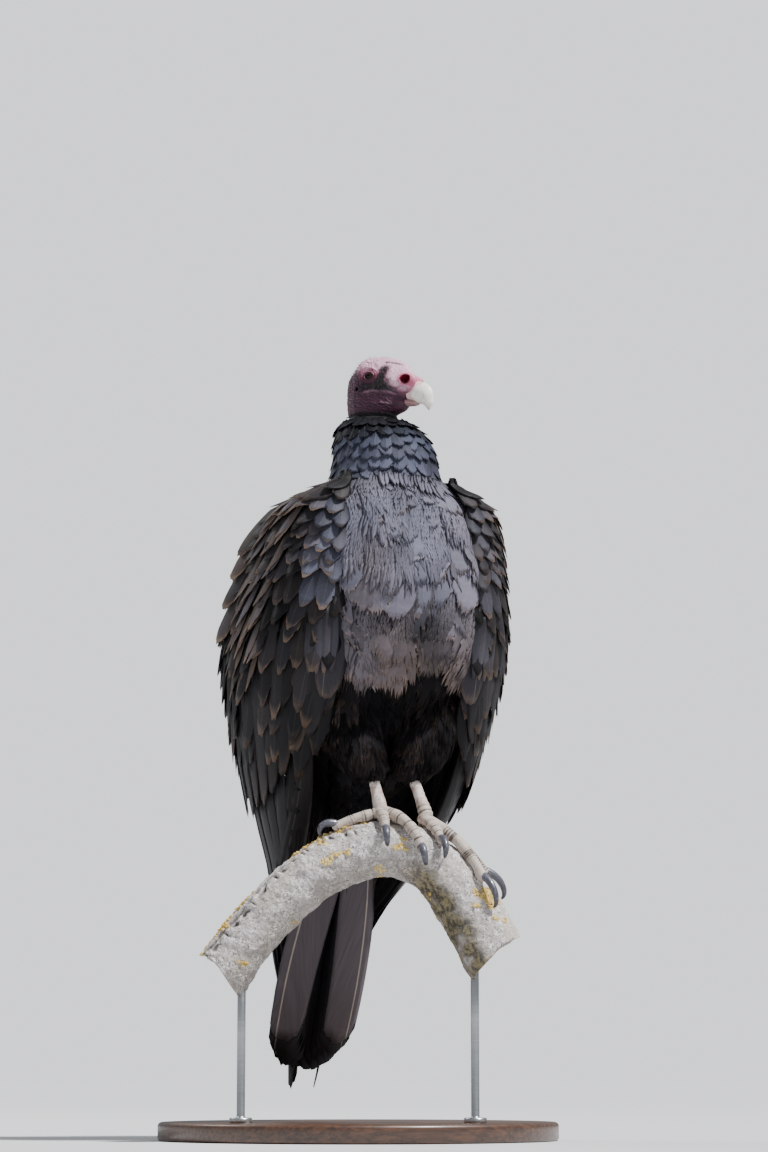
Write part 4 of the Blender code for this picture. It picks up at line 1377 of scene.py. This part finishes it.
def buildCoverts(name, side):
    coat = Coat("wing_coverts_" + name, "scale", 81)
    rng = coat.rng
    for low, high, rows, spacing, length, width in wingValues["covertRows"]:
        for row in range(rows):
            part = row / (rows - 1)
            height = between((low, high), part)
            count = max(3, round(0.27 * np.interp(height, (0.15, 0.3, 0.335), (1.0, 0.75, 0.22)) / spacing))
            for k in range(count + 1):
                u = 0.03 + (k + 0.5 * (row % 2) + rng.uniform(-0.22, 0.22)) / count
                long = between(length, part) * rng.uniform(0.86, 1.14)
                top = min(height + rng.uniform(-0.22, 0.22) * spacing, 0.337)
                lift = (-0.0055, rng.uniform(-0.0006, 0.0014))
                wingFeather(coat, side, u, top, long, width * rng.uniform(0.88, 1.12), lift,
                            rng.normal(0.02, 0.025), covertMarks(rng, u, height, side), 0.13,
                            rng.normal(0.04, 0.1), 5, 0.005 * rng.uniform(0, 1) ** 4)
    for row in range(11):  # narrow pale brown feathers turned to the light along the bend, painted paler as a highlight
        height = 0.33 - 0.0165 * row
        for k in range(3):
            u = 0.27 + 0.05 * k + 0.006 * row + rng.uniform(-0.02, 0.02)
            wingFeather(coat, side, u, height + rng.uniform(-0.006, 0.006), rng.uniform(0.03, 0.046), 0.0115,
                        (-0.003, 0.0022), 0.05, wingMarks(rng, 0.22, 0.75, 0.0, (0.6, 1.0)), 0.1,
                        rng.uniform(0.2, 0.5), 5)
    for k in range(4):  # small quills at the bend of the wing
        wingFeather(coat, side, 0.035 + 0.03 * k, 0.208 - 0.006 * k, 0.072 - 0.006 * k, 0.0125,
                    (-0.002, 0.0012), -0.015, wingMarks(rng, 0.5, 0.25, 0.1), 0.14, 0.2, 5)
    coat.finish("covertFeather", "coverts")


def buildScapulars(name, side):
    coat = Coat("scapulars_" + name, "long", 85)
    rng = coat.rng
    for row in range(10):
        height = min(0.14 + row * 0.0205, wingTop)
        for k in range(7):
            u = 0.58 + 0.075 * k + 0.035 * (row % 2) + rng.uniform(-0.015, 0.015)
            long = rng.uniform(0.055, 0.078) * (1.15 - 0.05 * row)
            lift = (-0.004, 0.0016 + 0.001 * rng.uniform())
            wingFeather(coat, side, u, height, long, rng.uniform(0.028, 0.036), lift, 0.03,
                        wingMarks(rng, 0.74, 0.6, 0.05), 0.12, 0.1, 6, rng.uniform(0.0, 0.003))
    for height in (0.318, 0.296, 0.268, 0.236):
        wingFeather(coat, side, 0.5, height, 0.058, 0.03, (-0.004, 0.006), 0.04,
                    wingMarks(rng, 0.66, 0.85, 0.0), 0.1, -0.25, 6)
    coat.finish("covertFeather", "coverts")


def buildFlight(name, side):
    coat = Coat("secondaries_" + name, "quill", 91)
    rng, last = coat.rng, wingValues["secondaries"] - 1
    for k in range(last + 1):
        u = 0.02 + 0.96 * k / last
        end = secondaryEnd(u) - rng.uniform(-0.004, 0.006)
        marks = {**wingMarks(rng, 0.86, 0.45, 0.1), "lean": -0.35 * side}
        wingFeather(coat, side, u - 0.02, 0.2, 0.2 - end, 0.031, (-0.006, -0.0006), 0.03, marks,
                    0.06, 0.13, 12)
    coat.finish("quillFeather", "flight_feathers", "wing_secondaries_" + name, strips=True)

    coat = Coat("primaries_" + name, "quill", 95)
    rng, last = coat.rng, wingValues["primaries"] - 1
    for k in range(last + 1):
        part = k / last
        end = -0.266 + 0.14 * part**1.2 + (0.035 if k == 0 else 0)
        marks = {**wingMarks(rng, 0.92, 0.35, 0.1), "lean": -0.35 * side}
        wingFeather(coat, side, 0.1 + 0.82 * part, 0.11, 0.11 - end, 0.026 - 0.004 * part,
                    (-0.01, -0.0006 - 0.0012 * (1 - part)), 0.02, marks, 0.05, 0.12, 16)
    coat.finish("quillFeather", "flight_feathers", "wing_primaries_" + name, strips=True)


# Tail

tailValues = {
    "length": 0.3,
    "slope": radians(32),
    "steps": 12,  # along a feather
    "root": np.array((0, 0.1, 0.02)),
    "feathers": (  # place of the tip aside, width, back of the tail to the feather, shorter by, dark
        (0.029, 0.04, -0.0085, 0.04, 0.06), (0.027, 0.039, -0.0055, 0.024, 0.88),
        (0.024, 0.038, -0.003, 0.014, 0.94), (0.02, 0.036, -0.0008, 0.008, 0.96),
        (0.014, 0.034, 0.0012, 0.003, 0.97), (0.006, 0.032, 0.003, 0.0, 0.97),
    ),
}
acrossTail = np.array((1, 0, 0))
alongTail = np.array((0, sin(tailValues["slope"]), -cos(tailValues["slope"])))
offTail = np.array((0, cos(tailValues["slope"]), sin(tailValues["slope"])))


def tailMarks(rng, dark, brown, blue, tint=(0, 1), lean=0.0):
    return {"tint": rng.uniform(*tint), "dark": dark, "brown": brown, "blue": blue, "lean": lean}


def buildTail():
    coat, steps = Coat("tail_feathers", "steering", 101), tailValues["steps"]
    for side in sides.values():
        for aside, width, height, shorter, dark in tailValues["feathers"]:
            length = tailValues["length"] - shorter + coat.rng.uniform(-0.002, 0.002)
            centre = []
            for part in np.arange(steps + 1) / steps:
                spread = aside * (0.3 + 0.7 * sin(min(1.0, part / 0.86) * pi / 2))
                centre.append(tailValues["root"] + alongTail * length * part + acrossTail * side * spread
                              + offTail * (height - 0.004 * part))
            normals = [unit(acrossTail * 0.1 * side - offTail)] * (steps + 1)
            marks = tailMarks(coat.rng, dark, 0.45, 0.0, (0.4, 0.6), -0.52 * side)
            coat.add(centre, normals, width, marks, 0.04, 0.0)
    coat.finish("tailFeather", "tail_feathers", "tail", strips=True)

    coat = Coat("tail_coverts", "long", 103)
    for face in (1, -1):
        for row, k in product(range(4), range(7)):
            across = (k - 3 + 0.5 * (row % 2)) / 3.5
            centre = []
            for i in range(7):
                reach = 0.02 * row - 0.03 + 0.07 * i / 6
                out = max(0, reach)
                off = 0.012 + 0.006 * (3 - row) - 0.13 * out * (1 - row * 0.1) - 0.006 * across**2
                aside = acrossTail * (0.02 + 0.1 * out) * across
                centre.append(tailValues["root"] + alongTail * reach + aside + offTail * face * off)
            normals = [unit(offTail * face + acrossTail * 0.5 * across)] * 7
            marks = tailMarks(coat.rng, 0.85, 0.3, 0.1)
            coat.add(centre, normals, 0.026, marks, 0.1, coat.rng.normal(0, 0.1))
    coat.finish("covertFeather", "plumage")

    coat = Coat("vent_coat", "ragged", 107)
    for row, k in product(range(3), range(11)):
        across = (k - 5 + 0.5 * (row % 2)) / 5
        start = np.array((0.064 * across, 0.07 + 0.012 * row, 0.072 - 0.006 * row))
        reach = np.array((0.006 * across, 0.014, -0.104 + 0.016 * across**2)) * coat.rng.uniform(0.85, 1.08)
        centre = [start + reach * i / 5 for i in range(6)]
        normals = [unit(np.array((0.4 * across, -1, 0.1)))] * 6
        coat.add(centre, normals, 0.026, tailMarks(coat.rng, 0.97, 0.4, 0.0), 0.08, coat.rng.normal(0, 0.1))
    coat.finish("bellyFeather", "plumage")


# Perch: bark, lichen and sawn ends

barkTextures = (  # kind, size, height, depth of the noise
    ("CLOUDS", 0.011, 0.0024, 3),
    ("VORONOI", 0.005, 0.0012, None),
    ("CLOUDS", 0.0028, 0.001, 2),
)


def displaced(obj, kind, size, strength, depth):
    texture = bpy.data.textures.new(f"{obj.name}{kind}{size}", kind)
    texture.noise_scale = size
    if depth:
        texture.noise_depth = depth
    assign(obj.modifiers.new(kind, "DISPLACE"), {
        "texture": texture, "texture_coords": "LOCAL", "strength": strength, "mid_level": 0.5,
        "vertex_group": "bark",
    })


def perchMesh():
    line, around, capRings = perchValues["line"], perchValues["around"], perchValues["capRings"]
    spots = np.linspace(line[0][0], line[-1][0], perchValues["rings"] + 1).tolist()
    spots = [spots[0]] * capRings + spots + [spots[-1]] * capRings
    shares = [min(1.0, (min(i, len(spots) - 1 - i) + 0.12) / capRings) for i in range(len(spots))]
    angles = roundTurns(around)
    points = []
    for along, share in zip(spots, shares):
        middle, thick, up, front = perchFrame(along)
        reach = thick * perchValues["shrink"] * share
        points += [middle + reach * (up * cos(a) + front * sin(a)) for a in angles]
    mesh = outward(ringed("perch_bark", points, around))
    angles = (np.tile(angles, len(spots)) + pi) % (2 * pi) - pi
    return mesh, np.repeat(shares, around), np.repeat(spots, around), angles


def buildPerch():
    mesh, out, along, angle = perchMesh()
    points = pointsOf(mesh)
    left = 1 - ramp(along, -0.045, -0.015)
    bent = angle - 0.12 * ripple(along[:, None] * (1, 0, 0), 0.06, 31)
    groove = np.maximum(hill(bent, 0.44, 0.06), 0.7 * hill(bent, 0.2, 0.045)) * left
    ridge = hill(bent, 0.3, 0.22) * left
    beads = np.sin(along * 2 * pi / 0.0085 + 2.0 * ripple(points, 0.02, 34))
    crust = hill(bent, 0.7, 0.15) * left * (0.5 + 0.5 * beads)
    pits = hill(bent, 0.7, 0.13) * left * ramp(-beads, 0.35, 0.85)
    lumps = 0.0009 * ripple(points, 0.045, 33) + 0.0005 * ripple(points, 0.016, 35)
    side = ramp(out, 0.93, 1.0)
    grown = 0.0016 * ridge - 0.0034 * groove + 0.0018 * crust - 0.0012 * pits
    pushPoints(mesh, (grown + lumps - 0.0006) * side)
    mesh.transform(Matrix.Translation(birdPlace))
    # below: the branch's underside, which gets a darker olive mottle: olive growth with painted shade,
    # strongest on the right limb
    below = ramp(-np.cos(angle) + 0.1 * ripple(points, 0.05, 36), -0.05, 0.55)
    patch = ripple(points, 0.04, 37) * 0.5 + ripple(points, 0.014, 39) * 0.35
    crest = hill(angle, 0.05, 0.4) * (1 - ramp(along, -0.03, -0.015))
    flank = hill(angle, 1.45, 0.25) * band(along, -0.075, -0.04, 0.01)
    right = hill(angle, 0.7, 0.6) * band(along, 0.062, 0.088, 0.006)
    lichen = ramp(patch + 1.3 * crest + 1.4 * flank + 1.0 * right, 0.72, 1.2)
    setNumber(mesh, "out", out)
    setNumber(mesh, "furrow", np.clip(groove + pits, 0, 1))
    setNumber(mesh, "below", below * (0.35 + 0.65 * ramp(along, -0.01, 0.05)))
    setNumber(mesh, "lichen", lichen * side * (out > 0.99))
    perch = place("perch_bark", mesh, barkLook())
    group = perch.vertex_groups.new(name="bark")
    for k in np.flatnonzero(side > 0.01):
        group.add([int(k)], float(side[k]), "REPLACE")
    for texture in barkTextures:
        displaced(perch, *texture)
    attach(finished(perch), "bark", "perch")
    report("perch")
    attach(scatter(perch, "lichen", lichenValues, lichenLook()), "bark")
    report("lichen")


def barkLook():
    look = Look("weatheredBark", Specular_IOR_Level=0.25)
    position = look.place()
    broad = look.noise(position, 38.0, 4.0)
    mid = look.noise(position, 150.0, 6.0, 0.7)
    fine = look.noise(position, 620.0, 5.0, 0.7)
    specks = look.cells(position, 300.0)
    flakes = look.cells(position, 120.0, "DISTANCE_TO_EDGE")
    out = look.number("out")
    flaked = (1 - look.smooth(flakes, 0.02, 0.1)) * look.smooth(mid, 0.44, 0.6)
    # olive mottle of the underside, darkened as painted shade
    oliveMottleAndShade = look.mix(look.smooth(mid, 0.42, 0.58), paint(46, 42, 30), paint(130, 118, 84))
    bark = look.over(
        paint(180, 172, 168),
        (look.smooth(mid, 0.42, 0.6), paint(238, 233, 232)),
        (look.smooth(fine + mid * 0.5, 0.75, 0.9) * 0.85, paint(70, 64, 62)),
        (look.smooth(broad, 0.54, 0.66) * 0.5, paint(178, 168, 152)),
        (flaked * 0.5, paint(104, 96, 90)),
        (look.number("furrow") * 0.9, paint(52, 42, 38)),
        (look.number("below") * look.smooth(broad + mid * 0.5, 0.52, 0.74) * 0.9, oliveMottleAndShade),
        (look.number("lichen") * look.smooth(fine + specks * 0.2, 0.42, 0.62), paint(188, 158, 76)),
    )
    rings = look.node("ShaderNodeMath", {"operation": "SINE"}, {0: out * 85.0 + broad * 8.0})
    sawn = look.over(
        paint(196, 164, 120),
        (rings * 0.35 + 0.5, paint(150, 116, 78)),
        (look.smooth(mid, 0.5, 0.75) * 0.5, paint(112, 90, 70)),
    )
    colour = look.mix(look.smooth(out, 0.93, 0.96), sawn, bark)
    relief = mid * 0.8 + fine * 0.7 + specks * 0.4
    return look.finish(colour, 0.78 + 0.18 * fine, (relief, 0.8, 0.0018))


def lichenLook():
    look = Look("lichen", Specular_IOR_Level=0.2, Roughness=0.9)
    position = look.place()
    tone = look.noise(position, 95.0)
    fine = look.noise(position, 900.0)
    colour = look.over(
        paint(212, 190, 128),
        (look.smooth(tone, 0.38, 0.6), paint(192, 152, 60)),
        (look.smooth(tone, 0.6, 0.75), paint(158, 142, 92)),
        (fine * 0.5, paint(226, 204, 140)),
    )
    return look.finish(colour, relief=(fine, 0.6, 0.0005))


# Geometry Nodes: small things strewn over a surface by one of its own numbers

def crumb(tree):
    ico = tree.node("GeometryNodeMeshIcoSphere", {}, {"Radius": 1.0, "Subdivisions": 1})
    moved = tree.node("ShaderNodeTexNoise", {}, {"Scale": 1.7}, 1)
    moved = tree.node("ShaderNodeVectorMath", {"operation": "SCALE"}, {0: moved, "Scale": 0.8})
    return tree.node("GeometryNodeSetPosition", {}, {"Geometry": ico, "Offset": moved})


def hair(tree):
    sizes = {"Vertices": 4, "Radius Top": 0.004, "Radius Bottom": 0.045, "Depth": 1.0}
    return tree.node("GeometryNodeMeshCone", {}, sizes)


strewnShapes = {"crumb": crumb, "hair": hair}


def scatterTree(name, values, mask, material):
    tree = NodeTree(bpy.data.node_groups.new(name, "GeometryNodeTree"))
    tree.tree.is_modifier = True
    inputs = {"Surface": "Geometry", "Density": "Float", "Size": "Float", "Flatness": "Float", "Seed": "Int"}
    for label, kind in inputs.items():
        tree.tree.interface.new_socket(label, in_out="INPUT", socket_type="NodeSocket" + kind)
    tree.tree.interface.new_socket("Strewn", in_out="OUTPUT", socket_type="NodeSocketGeometry")
    start = tree.node("NodeGroupInput")
    amount = tree.node("GeometryNodeInputNamedAttribute", {"data_type": "FLOAT"}, {"Name": mask})
    seeded = {"Seed": start["Seed"]}
    points = tree.node("GeometryNodeDistributePointsOnFaces", {},
                       {"Mesh": start["Surface"], "Density": amount * start["Density"], **seeded})
    low, high = values["spin"]
    spin = tree.node("FunctionNodeRandomValue", {"data_type": "FLOAT_VECTOR"}, {0: low, 1: high, **seeded})
    turned = tree.node("FunctionNodeRotateRotation", {"rotation_space": "LOCAL"},
                       {0: points["Rotation"], 1: spin})
    size = tree.node("FunctionNodeRandomValue", {"data_type": "FLOAT"}, {2: 0.45, 3: 1.25, **seeded}, 1)
    wide = size * start["Size"]
    scale = tree.node("ShaderNodeCombineXYZ", {}, {0: wide, 1: wide, 2: wide * start["Flatness"]})
    shape = strewnShapes[values["kind"]](tree)
    strewn = tree.node("GeometryNodeInstanceOnPoints", {},
                       {"Points": points["Points"], "Instance": shape, "Rotation": turned, "Scale": scale})
    real = tree.node("GeometryNodeRealizeInstances", {}, {0: strewn})
    last = tree.node("GeometryNodeSetMaterial", {}, {0: real, "Material": material})
    tree.node("NodeGroupOutput", {}, {0: last})
    return tree.tree


lichenValues = {"Density": 260000.0, "Size": 0.0016, "Flatness": 0.5, "Seed": 5,
                "kind": "crumb", "spin": ((-0.5, -0.5, 0), (0.5, 0.5, 6.28))}
bristleValues = {"Density": 900000.0, "Size": 0.0042, "Flatness": 1.0, "Seed": 8,
                 "kind": "hair", "spin": ((0.7, -0.4, 0), (1.2, 0.4, 0.6))}


def scatter(surface, mask, values, material):
    obj = added(f"{mask}_{values['kind']}", surface.data.copy())
    modifier = obj.modifiers.new("strewn", "NODES")
    modifier.node_group = scatterTree(obj.name, values, mask, material)
    for item in modifier.node_group.interface.items_tree:
        if item.name in values:
            modifier[item.identifier] = values[item.name]
    finished(obj)
    obj.data.materials.clear()
    obj.data.materials.append(material)
    return obj


def buildBristles(skin):
    points = pointsOf(skin.data) - np.array(birdPlace)
    marks = headMarks(points)
    _, back, up = inHead(points).T
    sparse = 0.05 * ramp(up, 0.004, 0.012) * (1 - ramp(-back, 0.018, 0.024)) * marks["bare"]
    lore = marks["black"] * band(-back, 0.0155, 0.03, 0.001) * ramp(up, -0.0085, -0.006)
    setNumber(skin.data, "bristle", np.clip(lore + sparse, 0, 1) * marks["bare"])
    look = Look("bristle", Roughness=0.6)
    tone = look.noise(look.place(), 800.0, 2.0)
    finish = look.finish(look.mix(tone, paint(14, 12, 14), paint(44, 36, 38)))
    attach(scatter(skin, "bristle", bristleValues, finish), "plumage")
    report("bristles")


# Claws

def clawLook():
    look = Look("clawHorn", Coat_Weight=0.3)
    grain = look.noise(look.place(), 500.0, 4.0)
    colour = look.over(
        paint(84, 84, 94),
        (look.number("tip"), paint(26, 26, 32)),
        (look.smooth(grain, 0.5, 0.75) * 0.5, paint(140, 140, 152)),
    )
    return look.finish(colour, 0.22 + 0.25 * grain, (grain, 0.2, 0.0003))


def buildClaws():
    finish = clawLook()
    around, steps = footValues["clawSides"], footValues["clawSteps"]
    for side in ("left", "right"):
        for name, heading, length in footValues["toes"][side]:
            path, widths = [], []
            for k in range(steps + 1):
                part = k / steps
                reach = (footValues["claw"][name] * 0.86 + 0.002) * sin(1.75 * part) / sin(1.75)
                run = length - 0.002 + reach
                lift = 0.0044 + 0.0084 * sin(pi * part**0.8) - 0.0036 * part
                path.append(toePoint(side, heading, footValues["radius"][name], run, lift))
                widths.append(footValues["clawRadius"] * (1 - part**1.7) ** 0.8 + 0.0002)
            mesh = outward(tube(path, widths, around))
            setNumber(mesh, "tip", np.repeat(np.linspace(0, 1, steps + 1), around))
            mesh.transform(Matrix.Translation(birdPlace))
            label = f"claw_{name}_{side}"
            attach(place(label + "_horn", mesh, finish), "claw", label)
    report("claws")


# Display stand

standValues = {
    "rim": 0.004,
    "rimSteps": 8,
    "groove": 0.0008,
    "baseSides": 160,
    "rodSides": 32,
    "rod": 0.004,
    "collar": 0.011,
    "collarHeight": 0.005,
}


def lathed(profile, centre, around):
    points = [(centre[0] + radius * cos(a), centre[1] + radius * sin(a), height)
              for radius, height in profile for a in roundTurns(around)]
    return outward(ringed("turned", points, around))


def woodLook():
    look = Look("darkWood", Coat_Weight=0.35, Coat_Roughness=0.25)
    position = look.place()
    grain = look.noise(look.stretched(position, (3.0, 60.0, 60.0)), 5.0, 6.0, 0.6, 0.6)
    pores = look.noise(look.stretched(position, (20.0, 420.0, 420.0)), 4.0, 2.0)
    pores = look.smooth(pores, 0.6, 0.72) * 0.6
    colour = look.over(
        paint(92, 62, 44),
        (look.smooth(grain + look.noise(position, 3.0, 2.0) * 0.3, 0.45, 0.85), paint(52, 33, 24)),
        (pores, paint(26, 17, 13)),
    )
    return look.finish(colour, 0.32 + 0.2 * grain, (grain * 0.4 - pores, 0.12, 0.0005))


def steelLook():
    look = Look("brushedSteel", Metallic=1.0)
    rings = look.noise(look.stretched(look.place(), (60.0, 60.0, 1500.0)), 1.0)
    return look.finish(look.mix(rings, paint(168, 170, 174), paint(206, 208, 210)), 0.24 + 0.18 * rings)


def buildStand():
    low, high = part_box("stand_base")
    radius, top, rim, groove = (high[0] - low[0]) / 2, high[2], standValues["rim"], standValues["groove"]
    profile = [(radius - 0.002, 0.0), (radius, 0.002)]
    for k in range(standValues["rimSteps"] + 1):
        a = pi / 2 * k / standValues["rimSteps"]
        profile.append((radius - rim + rim * cos(a), top - rim + rim * sin(a)))
    for inside, down in ((0.012, 0), (0.0128, groove), (0.014, groove), (0.0148, 0), (radius * 0.5, 0),
                         (radius - 0.004, 0)):
        profile.append((radius - inside, top - down))
    wood = lathed(profile, (0, 0), standValues["baseSides"])
    attach(place("stand_base_wood", wood, woodLook()), "stand_wood", "stand_base")
    steel, wide, thin = steelLook(), standValues["collar"], standValues["rod"]
    for name in ("stand_rod_left", "stand_rod_right"):
        low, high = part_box(name)
        centre = ((low[0] + high[0]) / 2, (low[1] + high[1]) / 2)
        shelf = low[2] + standValues["collarHeight"]
        profile = [
            (wide - 0.0006, low[2]), (wide, low[2] + 0.0006), (wide, shelf - 0.0014),
            (wide - 0.0004, shelf - 0.0004), (wide - 0.0014, shelf), (thin + 0.0012, shelf),
            (thin + 0.0003, shelf + 0.0003), (thin, shelf + 0.0012), (thin, (shelf + high[2]) / 2),
            (thin, high[2] - 0.0008), (thin - 0.0008, high[2]),
        ]
        rod = lathed(profile, centre, standValues["rodSides"])
        attach(place(name + "_steel", rod, steel), "stand_steel", name)
    report("stand")


# Room, lights and camera

roomValues = {
    "floor": (200, 201, 203),
    "ambient": ((0.9, 0.95, 1.0, 1), 0.34),
    "backdrop": ((0.95, 0.97, 1.0, 1), 1.35),
    "aim": (0, -0.05, 0.5),
    "lights": (  # name, kind, place, settings
        ("key", "SUN", (1.15, -1.45, 3.3), {"angle": 0.12, "energy": 7.4}),
        ("rim", "AREA", (-1.4, 1.6, 2.2), {"size": 0.8, "energy": 25}),
    ),
}


def buildRoom():
    look = Look("paleFloor", Roughness=0.9, Specular_IOR_Level=0.1)
    tone = roomValues["floor"]
    soft = look.noise(look.place(), 3.0, 2.0)
    finish = look.finish(look.mix(soft, paint(*tone), paint(*(c + 4 for c in tone))))
    corners = [(-60, -60, 0), (60, -60, 0), (60, 60, 0), (-60, 60, 0)]
    floor = place("floor", meshOf("floor", corners, [(0, 1, 2, 3)]), finish)
    world = bpy.data.worlds.new("room")
    bpy.context.scene.world = world
    world.use_nodes = True
    sky = NodeTree(world.node_tree)
    glow, backdrop = (sky.node("ShaderNodeBackground", {}, dict(zip(("Color", "Strength"), roomValues[name])))
                      for name in ("ambient", "backdrop"))
    seen = sky.node("ShaderNodeLightPath")["Is Camera Ray"]
    choose = sky.node("ShaderNodeMixShader", {}, {0: seen, 1: glow, 2: backdrop})
    sky.tree.links.new(choose.socket, sky.tree.nodes["World Output"].inputs[0])
    for name, kind, spot, settings in roomValues["lights"]:
        light = bpy.data.lights.new(name, kind)
        assign(light, settings)
        aimed(added(name, light), Vector(spot), Vector(roomValues["aim"]))
    report("room")


def aimed(obj, spot, aim):
    obj.location = spot
    obj.rotation_euler = (aim - spot).to_track_quat("-Z", "Y").to_euler()


cameraValues = {
    "azimuth": radians(-20),
    "distance": 3.0,
    "height": 0.06,
    "aim": 0.547,
    "lens": 96.7,
    "shiftX": -0.002,
}


def buildCamera():
    turn, distance = cameraValues["azimuth"], cameraValues["distance"]
    axis = Vector((birdPlace.x, birdPlace.y, 0))
    spot = axis + Vector((sin(turn) * distance, -cos(turn) * distance, cameraValues["height"]))
    camera = added("camera", bpy.data.cameras.new("camera"))
    aimed(camera, spot, axis + Vector((0, 0, cameraValues["aim"])))
    assign(camera.data, {"lens": cameraValues["lens"], "shift_x": cameraValues["shiftX"]})
    bpy.context.scene.camera = camera


finishes = {name: plumage(name) for name in plumageLooks}

buildRoom()
buildCamera()
buildStand()
buildPerch()
buildClaws()
skin = buildSkin()
buildBristles(skin)
buildBill()
buildEyes()
form = fromNodes("form", bodyNodes, 0.004)
buildBody(form, wingSheet())
buildThighs(form)
for name, side in sides.items():
    buildCoverts(name, side)
    buildScapulars(name, side)
    buildFlight(name, side)
buildTail()
